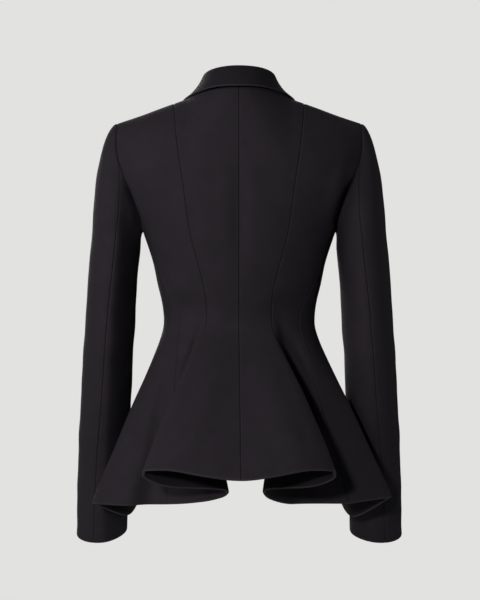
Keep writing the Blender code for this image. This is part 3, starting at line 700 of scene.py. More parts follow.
def half_body(half):
    """Each panel's outer points and normals, which neighbouring panels share at their seams."""
    points = {panel.name: panel_points(panel, half) for panel in PANELS}
    faces = {}
    for first, second in (("back", "side_back"), ("side_front", "front")):
        joined = np.concatenate([points[first], points[second][:, 1:]], axis=1)
        normals = grid_normals(joined)
        columns = points[first].shape[1]
        normals[PEPLUM_ROWS:] = body_facing(joined[PEPLUM_ROWS:])
        faces[first], faces[second] = normals[:, :columns], normals[:, columns - 1:]
    below = slice(0, PEPLUM_ROWS + SIDE_ROWS + 1)
    side = unit(faces["side_back"][below, -1] + faces["side_front"][below, 0])
    faces["side_back"][below, -1] = side
    faces["side_front"][below, 0] = side
    faces["back"][:, 0, 0] = 0.0
    at_neck = panel_shares(PANELS[0]) >= NECK_SHARE - TOLERANCE
    faces["back"][-1, at_neck, 1] = 0.0
    for name in ("side_back", "side_front", "front"):
        faces[name][-1, :, 1] = 0.0
    return {name: (points[name], unit(faces[name])) for name in points}


# Relief of the cloth


def stroke(u, v, u0, v0, u1, v1, bend, width):
    """How strongly a soft crease from one place to another shows at u and v."""
    long = math.hypot(u1 - u0, v1 - v0)
    along_u, along_v = (u1 - u0) / long, (v1 - v0) / long
    t = ((u - u0) * along_u + (v - v0) * along_v) / long
    aside = -(u - u0) * along_v + (v - v0) * along_u
    inside = np.clip(t, 0.0, 1.0)
    aside = aside - bend * 4.0 * inside * (1.0 - inside)
    fade = np.sin(math.pi * inside) ** 2
    return fade * np.exp(-((aside / width) ** 2))


def body_creases(points, normals, half, panel):
    relief = np.zeros(points.shape[:2])
    for crease in BODY_CREASES:
        place = CREASE_PLACES[crease.place]
        if crease.half == half.name and panel.name in place.panels:
            ends = (crease.x0, crease.z0, crease.x1, crease.z1)
            shown = stroke(points[..., 0], points[..., 2], *ends, crease.bend, crease.width)
            relief += crease.depth * shown * ease(0.0, CREASE_FACING, normals[..., 1] * place.face)
    return relief


def arm_creases(turns, points, half):
    """Relief of a sleeve, where the turns are measured as lengths round a mean arm."""
    elbow = ARM[2]
    radius = (elbow.half_width + elbow.half_depth) / 2.0
    relief = np.zeros(points.shape[:2])
    around = turns[None, :] * radius
    for crease in ARM_CREASES:
        if crease.half == half.name:
            u0, u1 = math.radians(crease.turn0) * radius, math.radians(crease.turn1) * radius
            ends = (u0, crease.z0, u1, crease.z1)
            relief += crease.depth * stroke(around, points[..., 2], *ends, crease.bend, crease.width)
    return relief


def waves(points):
    """Slight unevenness, the same wherever two pieces meet."""
    rng = np.random.default_rng(WAVE_SEED)
    relief = np.zeros(points.shape[:2])
    for _ in range(WAVES):
        way = unit(rng.normal(size=3))
        long = rng.uniform(WAVE_SHORT, WAVE_LONG)
        relief += np.sin(points @ way * FULL_TURN / long + rng.uniform(0.0, FULL_TURN))
    return relief * WAVE_HEIGHT


def lengths_across(points):
    """Distance of each point from the start and from the end of its row."""
    steps = np.linalg.norm(np.diff(points, axis=1), axis=-1)
    start = np.concatenate([np.zeros((len(points), 1)), np.cumsum(steps, axis=1)], axis=1)
    return start, start[:, -1:] - start


def lengths_up(points):
    """Distance of each point from the bottom and from the top of its column."""
    low, high = lengths_across(points.transpose(1, 0, 2))
    return low.T, high.T


def seam_dip(distance):
    return -SEAM_DEPTH * np.exp(-((distance / SEAM_WIDTH) ** 2))


def armhole_sink(points, distance, reach, half):
    """How far the cloth beside the armhole is drawn in between the body and the arm."""
    z = points[..., 2]
    along = ease(SINK_NONE_Z, SINK_FULL_Z, z) * ease(UNDERARM_Z, SINK_ENDS_Z, z)
    near = np.exp(-((distance / reach) ** 2))
    sunk = np.zeros_like(points)
    sunk[..., 1] = -half.sink * along * near * np.tanh(points[..., 1] / SINK_TURN)
    return sunk


def hem_wall(height):
    """Thickness of the cloth, which is turned up inside along the hem."""
    return WALL + (HEM_WALL - WALL) * (1.0 - ease(HEM_DEPTH, HEM_DEPTH + HEM_STEP, height))


# Meshes


def square_to(edge, inside):
    """Directions from an edge to the points inside it, square to the edge."""
    along = unit(np.gradient(edge, axis=0))
    inward = inside - edge
    return unit(inward - along * np.sum(inward * along, axis=-1, keepdims=True))


def rim_outward(points):
    """Directions that lead out of a grid at its rim, and none inside it."""
    out = np.zeros_like(points)
    out[:, 0] -= square_to(points[:, 0], points[:, 1])
    out[:, -1] -= square_to(points[:, -1], points[:, -2])
    out[0] -= square_to(points[0], points[1])
    out[-1] -= square_to(points[-1], points[-2])
    return unit(out)


def add_object(name, data):
    thing = bpy.data.objects.new(name, data)
    bpy.context.scene.collection.objects.link(thing)
    return thing


def add_mesh(name, points, faces, material):
    mesh = bpy.data.meshes.new(name)
    mesh.from_pydata(np.asarray(points).tolist(), [], faces)
    shell = bmesh.new()
    shell.from_mesh(mesh)
    bmesh.ops.recalc_face_normals(shell, faces=shell.faces)
    shell.to_mesh(mesh)
    shell.free()
    mesh.materials.append(material)
    mesh.shade_smooth()
    return add_object(name, mesh)


def grid_faces(rows, columns, first=0, turned=False):
    faces = []
    for r in range(rows - 1):
        for c in range(columns - 1):
            a = first + r * columns + c
            quad = (a, a + 1, a + columns + 1, a + columns)
            faces.append(quad[::-1] if turned else quad)
    return faces


RIM_SIDES = {"start": np.s_[:, 0], "end": np.s_[:, -1], "top": np.s_[-1], "bottom": np.s_[0]}

# The looks of a cloth piece, in the order of its materials: its face, its edges made lighter as a painted
# highlight, and its inside made darker as painted shade
Cloth = namedtuple("Cloth", "face edge inside")
FACE_LOOK, PAINTED_HIGHLIGHT_LOOK, PAINTED_SHADE_LOOK = range(len(Cloth._fields))


def rim_places(rows, columns):
    """Rows and columns of the places round a grid's rim, in order."""
    rim = [(0, c) for c in range(columns - 1)]
    rim += [(r, columns - 1) for r in range(rows - 1)]
    rim += [(rows - 1, c) for c in range(columns - 1, 0, -1)]
    rim += [(r, 0) for r in range(rows - 1, 0, -1)]
    return tuple(np.array(rim).T)


def add_shell(name, outer, inner, rounds, cloth, sign):
    """A closed shell between two grids, with a rim that bulges by the round given for each side.

    The rims that show, which aren't in seams, are coloured lighter as a painted highlight, and the inside
    darker as painted shade.
    """
    rows, columns = outer.shape[:2]
    count = rows * columns
    bulge = np.zeros((rows, columns))
    for side, place in RIM_SIDES.items():
        bulge[place] = np.maximum(bulge[place], rounds.get(side, 0.0))
    at = rim_places(rows, columns)
    around = len(at[0])
    outward = rim_outward((outer + inner) / 2.0)[at] * bulge[at][:, None]
    middle, reach = (outer[at] + inner[at]) / 2.0, (outer[at] - inner[at]) / 2.0
    points = [outer.reshape(-1, 3), inner.reshape(-1, 3)]
    loops = [at[0] * columns + at[1]]
    for number, angle in enumerate(np.radians(RIM_ANGLES)):
        points.append(middle + outward * math.sin(angle) + reach * math.cos(angle))
        loops.append(2 * count + number * around + np.arange(around))
    loops.append(count + loops[0])
    faces = grid_faces(rows, columns) + grid_faces(rows, columns, count, turned=True)
    for near, far in zip(loops, loops[1:]):
        faces += np.stack([np.roll(near, -1), near, far, np.roll(far, -1)], axis=-1).tolist()
    points = np.concatenate(points) * np.array([sign, 1.0, 1.0])
    piece = add_mesh(name, points, faces, cloth.face)
    piece.data.materials.append(cloth.edge)
    piece.data.materials.append(cloth.inside)
    panes = (rows - 1) * (columns - 1)
    shows = np.isin(bulge[at], (HEM_ROUND, EDGE_ROUND, COLLAR_ROUND))
    # rims that show get the lighter colour of a painted highlight
    rim_looks = np.where(shows & np.roll(shows, -1), PAINTED_HIGHLIGHT_LOOK, FACE_LOOK)
    # the inside faces get the darker colour of painted shade
    looks = [FACE_LOOK] * panes + [PAINTED_SHADE_LOOK] * panes + rim_looks.tolist() * (len(loops) - 1)
    piece.data.polygons.foreach_set("material_index", looks)
    return piece


def add_cloth(node, grid, normals, above, below, rounds, cloth, sign=1.0):
    """A shell whose outer and inner faces lie above and below a grid, along its normals."""
    outer = grid + normals * above[..., None]
    inner = grid + normals * below[..., None]
    return add_shell(f"cloth_{node}", outer, inner, rounds, cloth, sign)


def flat_cut(points):
    """Width, length and area of the flat piece that a grid was cut as."""
    across, _ = lengths_across(points)
    up, _ = lengths_up(points)
    a = points[1:, 1:] - points[:-1, :-1]
    b = points[1:, :-1] - points[:-1, 1:]
    area = float(np.linalg.norm(np.cross(a, b), axis=-1).sum() / 2.0)
    return float(across[:, -1].max()), float(up[-1].max()), area


def belongs(piece, node=None):
    """Hangs a piece from the root, and hides the solid that it stands for, if any."""
    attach(piece, "root")
    if node:
        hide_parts(node)


def declare(piece, node, points):
    """Hangs a cloth piece from the root and hides the solid that it stands for; the size that it was cut to
    is worked out but not used.
    """
    belongs(piece, node)
    width, length, area = flat_cut(points)
    area = min(area, width * length)


# Cloth pieces

EDGE_ROUNDS = {
    "side_back_edge": ARMHOLE_ROUND,
    "side_front_edge": ARMHOLE_ROUND,
    "front_edge": EDGE_ROUND,
}


def build_panels(half, body, cloth):
    for panel in PANELS:
        points, normals = body[panel.name]
        from_start, from_end = lengths_across(points)
        to_armhole = {"side_back": from_end, "side_front": from_start}.get(panel.name)
        base = points
        if to_armhole is not None:
            base = points + armhole_sink(points, to_armhole, half.body_reach, half)
        from_hem, from_top = lengths_up(points)
        soft = waves(points) + body_creases(points, normals, half, panel)
        dip = seam_dip(from_start) + seam_dip(from_top)
        if panel.end != "front_edge":
            dip = dip + seam_dip(from_end)
        above, below = soft + np.maximum(dip, -SEAM_DEPTH), soft - hem_wall(from_hem)
        start, end = (EDGE_ROUNDS.get(edge, SEAM_ROUND) for edge in (panel.start, panel.end))
        rounds = {"bottom": HEM_ROUND, "start": start, "end": end, "top": SEAM_ROUND}
        node = f"{panel.name}_{half.name}"
        piece = add_cloth(node, base, normals, above, below, rounds, cloth, half.sign)
        declare(piece, node, points)


def armhole_loop(shares):
    """Points and normals round the armhole at shares of the way round from the shoulder."""
    behind = shares <= 0.5
    turn = math.pi * np.where(behind, 1.0 - 2.0 * shares, 2.0 * shares - 1.0)
    z = armhole_z(turn)
    loops = []
    for name in ("side_back_edge", "side_front_edge"):
        point = ring_point(edge_angle(name, z, SEAM_TRIM), z)
        loops.append((point, body_facing(point)))
    points = np.where(behind[:, None], loops[0][0], loops[1][0])
    normals = np.where(behind[:, None], loops[0][1], loops[1][1])
    at_top = ease(0.0, CAP_TOP_SHARE, np.minimum(shares, 1.0 - shares))[:, None]
    upward = unit(np.array([SHOULDER_SLOPE, 0.0, 1.0]))
    return points, unit(normals * at_top + upward * (1.0 - at_top))


def arm_ring(level, angles, lines):
    drift = np.radians(lines["drift"](level))
    turned = angles - drift * np.where(angles < math.pi, np.sin(angles) ** 2, 0.0)
    x = lines["x"](level) + lines["half_width"](level) * np.cos(turned)
    y = lines["y"](level) + lines["half_depth"](level) * np.sin(turned)
    leave, reach, stay, back = np.radians(INNER_TURNS)
    inner = ease(leave, reach, turned) * (1.0 - ease(stay, back, turned))
    x = x + lines["inner_out"] * inner
    y = y - lines["inner_forward"] * inner
    drop = lines["drop_back"](level) * np.sin(turned) + lines["drop_out"](level) * np.cos(turned)
    return xyz(x, y, level - drop)


def cap_row(t, shares, lines):
    """Points round the sleeve head at t of the way from the armhole to the bicep."""
    angles = FULL_TURN * shares
    loop, _ = armhole_loop(shares)
    bicep = arm_ring(ARM[0].z, angles, lines)
    below = arm_ring(ARM[0].z - BICEP_STEP, angles, lines)
    fall = (loop[:, 2] - bicep[:, 2])[:, None]
    out = unit(xyz(np.ones_like(angles), CAP_TURN * np.sin(angles), 0.0 * angles))
    leave = fall * (out * lines["cap_out"] - np.array([0.0, 0.0, CAP_DOWN]))
    arrive = fall * unit(below - bicep)
    start, end, first, last = cubic_weights(t)
    return start * loop + end * bicep + first * leave + last * arrive


def slid_shares(row, shares):
    """The shares of a row's columns, slid round so that the back seam keeps to its line."""
    tried = np.linspace(*SLEEVE_SEAM_SEARCH, SLEEVE_SEAM_TRIES)
    points = row(tried)
    seam_x = table_line(SLEEVE_SEAM, "z", "x")
    slide = np.interp(0.0, seam_x(points[:, 2]) - points[:, 0], tried) - SLEEVE_BACK_SEAM
    away = (shares - SLEEVE_BACK_SEAM + 0.5) % 1.0 - 0.5
    return (shares + slide * np.exp(-((away / SLEEVE_SEAM_REACH) ** 2))) % 1.0


def sleeve_points(shares, half):
    """Rows from the armhole to the cuff, columns round the arm, and the normals along the armhole."""
    lines = {name: getattr(half, name) for name in ("cap_out", "inner_forward", "inner_out")}
    for name in ("x", "y", "half_width", "half_depth", "drop_back", "drop_out", "drift"):
        lines[name] = table_line(ARM[::-1], "z", name)

    def cap(t):
        return lambda places: cap_row(t, places, lines)

    def arm(level):
        return lambda places: arm_ring(level, FULL_TURN * places, lines)

    rows = [cap(t) for t in np.linspace(0.0, 1.0, CAP_ROWS + 1) ** CAP_ROWS_CLOSER]
    rows += [arm(level) for level in np.linspace(ARM[0].z, ARM[-1].z, ARM_ROWS + 1)[1:]]
    points = np.array([row(slid_shares(row, shares)) for row in rows])
    _, loop_normals = armhole_loop(slid_shares(rows[0], shares))
    return points, loop_normals


def build_sleeve(half, cloth):
    under = SLEEVE_BACK_SEAM + (SLEEVE_FRONT_SEAM - SLEEVE_BACK_SEAM) * column_shares(UNDER_COLUMNS)
    upper_wide = 1.0 + SLEEVE_BACK_SEAM - SLEEVE_FRONT_SEAM
    upper = SLEEVE_FRONT_SEAM + upper_wide * column_shares(UPPER_COLUMNS)
    round_once = np.concatenate([under[:-1], upper[:-1]])
    shares = round_once % 1.0
    angles = FULL_TURN * shares
    points, loop_normals = sleeve_points(shares, half)
    normals = grid_normals(points, wraps=True)
    low = (1.0 - np.cos(angles)) / 2.0
    normals[0] = unit(normals[0] * CAP_FOLD * low[:, None] + loop_normals)
    soft = waves(points) + arm_creases(angles, points, half)
    from_cap, from_cuff = lengths_up(points)
    sunk = armhole_sink(points, from_cap, half.sleeve_reach, half)
    puff = CAP_PUFF * (from_cap / CAP_PUFF_AT) * np.exp(1.0 - from_cap / CAP_PUFF_AT)
    soft = soft + puff * (1.0 - low) + seam_dip(from_cap) * CAP_DIP
    count = len(round_once)
    pieces = {
        "under_sleeve": range(0, UNDER_COLUMNS + 1),
        "upper_sleeve": range(UNDER_COLUMNS, count + 1),
    }
    rounds = {"bottom": ARMHOLE_ROUND, "top": HEM_ROUND, "start": SEAM_ROUND, "end": SEAM_ROUND}
    for name, columns in pieces.items():
        columns = [c % count for c in columns]
        grid = points[:, columns]
        from_start, from_end = lengths_across(grid)
        above = soft[:, columns] + (seam_dip(from_start) + seam_dip(from_end))
        below = soft[:, columns] - hem_wall(from_cuff[:, columns])
        node = f"{name}_{half.name}"
        base, facing = grid + sunk[:, columns], normals[:, columns]
        piece = add_cloth(node, base, facing, above, below, rounds, cloth, half.sign)
        declare(piece, node, grid)


# Collar and lapels


def front_points(x, z, half, lift):
    """Points of the front at x and z, moved out by the lift."""
    y = body_y(x, z, FRONT) - lap_lift(x, z, half)
    return xyz(x, y, z) + body_normal(x, z, FRONT) * lift


def collar_turns():
    """Places along half the collar: angles round the back of the neck, then shares of the front."""
    turns = np.linspace(0.0, math.pi / 2.0, COLLAR_BACK_COLUMNS + 1)
    return turns, np.linspace(0.0, 1.0, COLLAR_FRONT_COLUMNS + 1)[1:]


def collar_under(share, half):
    """What lies under the collar at a share of its width: points and normals along the neck."""
    turns, along = collar_turns()
    side_z = shoulder_z(FALL_HALF)
    x_neck, x_edge = NECK_HALF * np.sin(turns), FALL_HALF * np.sin(turns)
    z_edge = FALL_BACK_Z + (side_z - FALL_BACK_Z) * ease(0.0, 1.0, np.sin(turns) ** FALL_EDGE_POWER)
    x = x_neck + (x_edge - x_neck) * share
    z = neckline_z(x_neck) + (z_edge - neckline_z(x_neck)) * share
    z = np.minimum(z, shoulder_z(x))
    y = body_y(x, z, BACK)
    y[-1] = 0.0
    back = xyz(x, y, z)
    back_normals = body_normal(x, z - COLLAR_SLIP, BACK)
    back_normals[-1, 1] = 0.0
    neck_z = shoulder_z(NECK_HALF)
    z_roll = neck_z + (GORGE_Z - neck_z) * along**2
    width = (FALL_HALF - NECK_HALF) + (FALL_FRONT - FALL_HALF + NECK_HALF) * along
    slope = FALL_SIDE_SLOPE + (GORGE_SLOPE - FALL_SIDE_SLOPE) * along
    notch = NOTCH * max(0.0, 2.0 * share - 1.0) * ease(NOTCH_START, 1.0, along)
    x = roll_x(z_roll) + width * share
    z = np.minimum(z_roll - slope * width * share + notch, shoulder_z(x))
    front = front_points(x, z, half, 0.0)
    front_normals = body_normal(x, z - COLLAR_SLIP, FRONT)
    return np.concatenate([back, front]), unit(np.concatenate([back_normals, front_normals]))


def collar_crest(neck):
    """The line along the top of the collar, which sinks to the neckline at the gorge."""
    turns, along = collar_turns()
    z = CREST_SIDE_Z + (CREST_BACK_Z - CREST_SIDE_Z) * np.cos(turns) ** 2
    back = xyz(CREST_HALF * np.sin(turns), CREST_BACK * np.cos(turns), z)
    low = ease(0.0, 1.0, along)[:, None]
    side = neck[len(turns) - 1]
    front = neck[len(turns):] + (back[-1] - side) * (1.0 - low)
    front[:, 2] += CREST_LOW * low[:, 0]
    return np.concatenate([back, front])


def collar_half(half):
    """Middle surfaces of half the stand and half the fall, rows by columns along the neck."""
    neck, _ = collar_under(0.0, half)
    crest = collar_crest(neck)
    inward = unit(xyz(-crest[:, 0], NECK_AXIS_Y - crest[:, 1], 0.0 * crest[:, 0]))
    up = np.array([0.0, 0.0, 1.0])
    foot = neck + inward * WALL + up * STAND_CLEAR
    fold = crest + (inward - up) * COLLAR_ROLL
    stand = [foot + (fold - foot) * share for share in np.linspace(0.0, 1.0, STAND_ROWS + 1)]
    fall = []
    for angle in np.radians(np.linspace(0.0, ROLL_END, ROLL_ROWS + 1)):
        over = -inward * (1.0 - math.cos(angle)) + up * math.sin(angle)
        fall.append(fold + over * COLLAR_ROLL)
    shoulder = crest - inward * COLLAR_ROLL * ROLL_SHOULDER
    turns, along = collar_turns()
    stands = np.concatenate([np.sin(turns) ** 2, 1.0 - ease(0.0, STAND_ENDS, along)])[:, None]
    behind = np.concatenate([np.cos(turns) ** 2, 0.0 * along])[:, None]
    full_lift = FALL_LIFT_SIDE + (FALL_LIFT_BACK - FALL_LIFT_SIDE) * behind
    for share in np.linspace(0.0, 1.0, FALL_ROWS + 1)[FALL_FIRST_ROW:]:
        under, normals = collar_under(share, half)
        hollow = (inward - up) * FALL_HOLLOW * stands * math.sin(math.pi * share)
        lift = normals * full_lift * math.sqrt(share)
        fall.append(under + (shoulder - neck) * (1.0 - share) + lift + hollow)
    return np.array(stand), np.array(fall)


def whole_collar(index):
    """Rows of the collar from its right end round the back to its left end."""
    left, right = (collar_half(half)[index] for half in HALVES)
    right = right[:, ::-1] * np.array([-1.0, 1.0, 1.0])
    return np.concatenate([right, left[:, 1:]], axis=1)


def smoothed(grid, passes):
    """The grid with kinks along its rows eased out, the ends of the rows kept."""
    for _ in range(passes):
        along = (grid[:, :-2] + 2.0 * grid[:, 1:-1] + grid[:, 2:]) / 4.0
        grid = np.concatenate([grid[:, :1], along, grid[:, -1:]], axis=1)
    return grid


COLLAR_PIECES = table(
    "name wall rounds held rests_on",
    ("collar_stand", WALL, {}, "hung", ["back_left", "back_right"]),
    (
        "collar_fall",
        COLLAR_WALL,
        {"top": COLLAR_ROUND, "start": EDGE_ROUND, "end": EDGE_ROUND},
        "folded",
        ["collar_stand", "back_left", "back_right"],
    ),
)


def build_collar(cloth):
    for index, part in enumerate(COLLAR_PIECES):
        middle = smoothed(whole_collar(index), COLLAR_SMOOTH)
        above, below = waves(middle) + part.wall / 2.0, waves(middle) - part.wall / 2.0
        piece = add_cloth(part.name, middle, grid_normals(middle), above, below, part.rounds, cloth)
        declare(piece, part.name, middle)


def build_lapel(half, cloth):
    along = np.linspace(0.0, 1.0, LAPEL_ROWS + 1)[:, None]
    across = np.linspace(0.0, 1.0, LAPEL_COLUMNS + 1)[None, :]
    width = table_line(LAPEL, "share", "width")(along) * across
    slope = table_line(LAPEL, "share", "slope")(along)
    top = GORGE_Z - LAPEL_GAP - WALL
    z_roll = half.lapel_foot_z + (top - half.lapel_foot_z) * along
    x = roll_x(z_roll) + width
    z = z_roll - slope * width
    roll = LAPEL_ROLL * (1.0 - across) ** LAPEL_ROLL_POWER * np.sqrt(np.sin(math.pi * along))
    middle = front_points(x, z, half, 0.0)
    lift = LAPEL_LIFT + roll + waves(middle)
    above, below = lift + COLLAR_WALL / 2.0, lift - COLLAR_WALL / 2.0
    rounds = {side: EDGE_ROUND for side in RIM_SIDES}
    node = f"lapel_{half.name}"
    normals = body_normal(x, z, FRONT)
    piece = add_cloth(node, middle, normals, above, below, rounds, cloth, half.sign)
    declare(piece, node, middle)


# Button


def button_frame():
    middle, z = np.array([0.0]), np.array([BUTTON_Z])
    normal = body_normal(middle, z, FRONT)[0]
    centre = front_points(middle, z, LAPPING_HALF, BUTTON_CLEAR)[0]
    side = np.array([1.0, 0.0, 0.0])
    return centre, side, unit(np.cross(normal, side)), normal


def build_button(material, thread):
    """A round button with a raised rim, held by two crossed stitches."""
    centre, side, rise, normal = button_frame()

    def spoke(turn):
        return side * math.cos(turn) + rise * math.sin(turn)

    top = centre + normal * BUTTON_DISH * BUTTON_THICK
    points, faces = [centre], []
    for ring in BUTTON_PROFILE:
        out = normal * ring.out * BUTTON_THICK
        for turn in np.linspace(0.0, FULL_TURN, BUTTON_SIDES + 1)[:-1]:
            points.append(centre + spoke(turn) * ring.radius * BUTTON_RADIUS + out)
    points.append(top)
    last = len(points) - 1 - BUTTON_SIDES
    for i in range(BUTTON_SIDES):
        j = (i + 1) % BUTTON_SIDES
        faces.append((0, 1 + j, 1 + i))
        for a in range(1, last, BUTTON_SIDES):
            faces.append((a + i, a + j, a + j + BUTTON_SIDES, a + i + BUTTON_SIDES))
        faces.append((last + i, last + j, len(points) - 1))
    belongs(add_mesh("sewn_button", points, faces, material), "button")
    for number, turn in enumerate(np.radians(STITCH_TURNS)):
        reach = spoke(turn) * STITCH_REACH
        ends = [top - reach, top + normal * THREAD, top + reach]
        belongs(add_cord(f"button_thread_{number}", ends, THREAD, thread, closed=False))


def add_cord(name, points, radius, material, closed):
    """A thread along the points, as a mesh."""
    curve = bpy.data.curves.new(name, "CURVE")
    curve.dimensions = "3D"
    curve.bevel_depth = radius
    curve.bevel_resolution = THREAD_BEVEL
    curve.use_fill_caps = True
    line = curve.splines.new("POLY")
    line.points.add(len(points) - 1)
    for place, point in zip(line.points, points):
        place.co = (*point, 1.0)
    line.use_cyclic_u = closed
    maker = add_object(name + "_line", curve)
    graph = bpy.context.evaluated_depsgraph_get()
    mesh = bpy.data.meshes.new_from_object(maker.evaluated_get(graph))
    bpy.data.objects.remove(maker)
    mesh.materials.clear()
    mesh.materials.append(material)
    mesh.shade_smooth()
    return add_object(name, mesh)


def build_buttonhole(thread):
    """The worked edge of the buttonhole, which the button covers in part."""
    half = LAPPING_HALF
    reach = BUTTONHOLE / 2.0
    turns = np.linspace(0.0, FULL_TURN, BUTTONHOLE_STEPS + 1)[:-1]
    ends = np.sign(np.cos(turns)) * (reach - BUTTONHOLE_HALF)
    x = ends + BUTTONHOLE_HALF * np.cos(turns) + reach - BUTTONHOLE_PAST
    z = BUTTON_Z + BUTTONHOLE_HALF * np.sin(turns)
    points = front_points(x, z, half, THREAD / 2.0) * np.array([half.sign, 1.0, 1.0])
    belongs(add_cord("buttonhole", points, THREAD, thread, closed=True))


# Materials

# Colours of the cloth's face, of its edges, lighter as a painted highlight, and of its inside, darker as
# painted shade
CLOTH_LOOKS = table(
    "name dark light sheen",
    ("black_crepe", (0.0092, 0.0073, 0.0098), (0.0124, 0.0099, 0.0132), 0.006),
    # painted highlight: the edges' colour is lighter than the face's, as if they caught the light
    ("pressed_edge", (0.0138, 0.0114, 0.0143), (0.0184, 0.0154, 0.0191), 0.02),
    # painted shade: the inside's colour is darker than the face's, standing in for the shade inside the
    # folds and hems
    ("cloth_inside", (0.0048, 0.0038, 0.0051), (0.0066, 0.0053, 0.0070), 0.006),
)
CLOTH_SHADER = {"Specular IOR Level": 0.12, "Sheen Roughness": 0.45, "Sheen Tint": (0.95, 0.92, 1.0, 1.0)}
CLOTH_GRAIN = {"Scale": 1500.0, "Detail": 3.0, "Roughness": 0.6}
CLOTH_CLOUD = {"Scale": 55.0, "Detail": 4.0}
CLOTH_BUMP = {"Strength": 0.35, "Distance": 0.0003}
CLOTH_ROUGH = {"To Min": 0.78, "To Max": 0.95}
CLOTH_TINT_AT = (0.30, 0.72)
GRAIN_SHARE = 0.45

THREAD_SHADER = {"Roughness": 0.70, "Specular IOR Level": 0.20}
THREAD_TWIST = {"Scale": 900.0}
THREAD_TINT_AT = (0.0, 1.0)
THREAD_COLOURS = ((0.008, 0.007, 0.008), (0.024, 0.022, 0.025))

HORN_SHADER = {"Specular IOR Level": 0.30}
HORN_STREAK = {"Scale": 220.0, "Detail": 5.0, "Distortion": 1.2}
HORN_ROUGH = {"To Min": 0.42, "To Max": 0.58}
HORN_TINT_AT = (0.35, 0.80)
HORN_COLOURS = ((0.004, 0.004, 0.004), (0.016, 0.013, 0.012))


def set_inputs(node, values):
    for name, value in values.items():
        node.inputs[name].default_value = value


def feed(tree, node, outputs):
    for name, output in outputs.items():
        tree.links.new(output, node.inputs[name])


def new_material(name, values):
    """A material with its node tree and its shader, whose own numbers are set."""
    material = bpy.data.materials.new(name)
    material.use_nodes = True
    shader = material.node_tree.nodes["Principled BSDF"]
    set_inputs(shader, values)
    return material, material.node_tree, shader


def add_node(tree, kind, values, outputs):
    """A node with its own numbers set and its other inputs fed by the outputs given."""
    node = tree.nodes.new(kind)
    set_inputs(node, values)
    feed(tree, node, outputs)
    return node


def add_texture(tree, kind, values):
    """How strong a texture of the piece's own space is."""
    place = tree.nodes.new("ShaderNodeTexCoord")
    return add_node(tree, kind, values, {"Vector": place.outputs["Object"]}).outputs["Fac"]


def add_tint(tree, strength, places, colours):
    """A colour that runs from one to the other between two places of a strength."""
    tint = add_node(tree, "ShaderNodeValToRGB", {}, {"Fac": strength})
    for stop, place, colour in zip(tint.color_ramp.elements, places, colours):
        stop.position = place
        stop.color = (*colour, 1.0)
    return tint.outputs["Color"]


def add_range(tree, strength, values):
    return add_node(tree, "ShaderNodeMapRange", values, {"Value": strength}).outputs["Result"]


def cloth_material(look):
    """Matt black crepe: a fine pebbled grain, slightly uneven in colour."""
    material, tree, shader = new_material(look.name, {**CLOTH_SHADER, "Sheen Weight": look.sheen})
    grain = add_texture(tree, "ShaderNodeTexNoise", CLOTH_GRAIN)
    cloud = add_texture(tree, "ShaderNodeTexNoise", CLOTH_CLOUD)
    both = add_node(tree, "ShaderNodeMix", {"Factor": GRAIN_SHARE}, {"A": cloud, "B": grain})
    tint = add_tint(tree, both.outputs["Result"], CLOTH_TINT_AT, (look.dark, look.light))
    bump = add_node(tree, "ShaderNodeBump", CLOTH_BUMP, {"Height": grain})
    rough = add_range(tree, grain, CLOTH_ROUGH)
    feed(tree, shader, {"Base Color": tint, "Roughness": rough, "Normal": bump.outputs["Normal"]})
    return material


def thread_material():
    """Black thread with a faint twist."""
    material, tree, shader = new_material("black_thread", THREAD_SHADER)
    twist = add_texture(tree, "ShaderNodeTexWave", THREAD_TWIST)
    feed(tree, shader, {"Base Color": add_tint(tree, twist, THREAD_TINT_AT, THREAD_COLOURS)})
    return material


def button_material():
    """Dark horn with a satin finish and faint streaks."""
    material, tree, shader = new_material("dark_horn", HORN_SHADER)
    streak = add_texture(tree, "ShaderNodeTexNoise", HORN_STREAK)
    tint = add_tint(tree, streak, HORN_TINT_AT, HORN_COLOURS)
    feed(tree, shader, {"Base Color": tint, "Roughness": add_range(tree, streak, HORN_ROUGH)})
    return material


# Stage

FLOOR_LOOK = {"Base Color": (0.76, 0.76, 0.745, 1.0), "Roughness": 0.9}
BACKDROP_LOOK = {
    "Base Color": (0.0, 0.0, 0.0, 1.0),
    "Roughness": 0.9,
    "Specular IOR Level": 0.0,
    "Emission Color": (0.7605, 0.7605, 0.7454, 1.0),
    "Emission Strength": 1.0,
}


def add_stage_piece(name, shape, look):
    """A piece of the stage, made of a bmesh that is used up."""
    mesh = bpy.data.meshes.new(name)
    shape.to_mesh(mesh)
    shape.free()
    mesh.materials.append(new_material(f"pale_{name}", look)[0])
    thing = add_object(name, mesh)
    return thing


def build_stage():
    """A pale floor at a wearer's feet, and a pale backdrop all round that only shows."""
    disc, ball = bmesh.new(), bmesh.new()
    bmesh.ops.create_circle(disc, cap_ends=True, segments=FLOOR_SIDES, radius=FLOOR_RADIUS)
    bmesh.ops.create_uvsphere(
        ball, u_segments=DOME_SIDES, v_segments=DOME_SIDES // 2, radius=DOME_RADIUS
    )
    add_stage_piece("floor", disc, FLOOR_LOOK).location = (0.0, 0.0, FLOOR_Z)
    dome = add_stage_piece("backdrop", ball, BACKDROP_LOOK)
    dome.visible_diffuse = False
    dome.visible_glossy = False
    dome.visible_transmission = False
    dome.visible_shadow = False


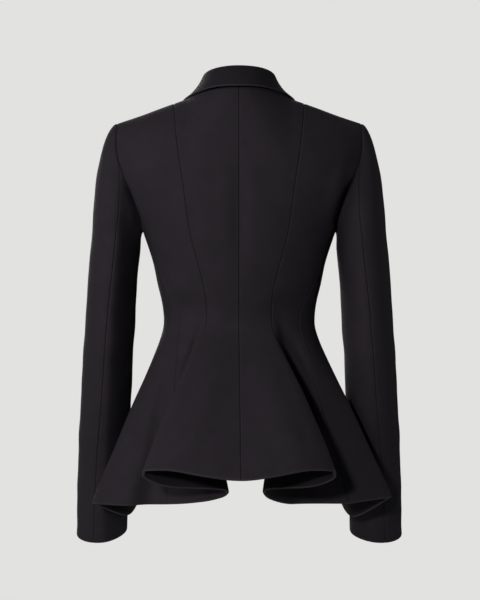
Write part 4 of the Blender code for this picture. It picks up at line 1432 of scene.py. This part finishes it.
LAMPS = table(
    "name x y z wide tall power",
    ("key", 0.70, 2.90, 0.22, 0.25, 0.25, 63.0),
    ("near_left", 1.2, 1.3, 0.6, 0.7, 0.7, 19.0),
    ("far_left", 2.4, 1.1, 0.5, 0.9, 0.9, 22.0),
    ("beside_right", -2.5, 0.0, -0.3, 0.9, 0.9, 6.0),
    ("top", 0.0, -0.3, 2.3, 1.2, 1.2, 6.0),
    ("rim_left", 2.0, -1.6, 0.2, 1.0, 1.0, 6.0),
    ("rim_right", -2.0, -1.6, 0.2, 1.0, 1.0, 4.0),
    ("front", 0.6, -2.6, 0.5, 2.0, 2.0, 70.0),
)
LAMP_TARGET = (0.0, 0.03, -0.30)
AMBIENT = 0.002


def aimed(location, target):
    """Rotation that turns a lamp or camera at one place to face another."""
    return (Vector(target) - Vector(location)).to_track_quat("-Z", "Y").to_euler()


def build_light():
    for lamp in LAMPS:
        light = bpy.data.lights.new(lamp.name, "AREA")
        light.shape = "RECTANGLE"
        light.size, light.size_y = lamp.wide, lamp.tall
        light.energy = lamp.power
        thing = add_object(lamp.name, light)
        thing.location = (lamp.x, lamp.y, lamp.z)
        thing.rotation_euler = aimed(thing.location, LAMP_TARGET)
    world = bpy.data.worlds.new("studio")
    world.use_nodes = True
    sky = world.node_tree.nodes["Background"]
    sky.inputs["Color"].default_value = (1.0, 1.0, 1.0, 1.0)
    sky.inputs["Strength"].default_value = AMBIENT
    bpy.context.scene.world = world
    bpy.context.scene.view_settings.view_transform = "Standard"


def build_camera():
    data = bpy.data.cameras.new("camera")
    data.sensor_width = SENSOR
    data.lens = SENSOR * CAMERA_DISTANCE / PHOTO_WIDE
    camera = add_object("camera", data)
    camera.location = (CAMERA_X, CAMERA_DISTANCE, CAMERA_Z)
    camera.rotation_euler = aimed(camera.location, (CAMERA_X, 0.0, CAMERA_Z))
    bpy.context.scene.camera = camera


def main():
    build_camera()
    cloth = Cloth(*(cloth_material(look) for look in CLOTH_LOOKS))
    thread = thread_material()
    for half in HALVES:
        build_panels(half, half_body(half), cloth)
        build_sleeve(half, cloth)
        build_lapel(half, cloth)
    build_collar(cloth)
    build_button(button_material(), thread)
    build_buttonhole(thread)
    build_stage()
    build_light()


main()
bpy.context.view_layer.update()
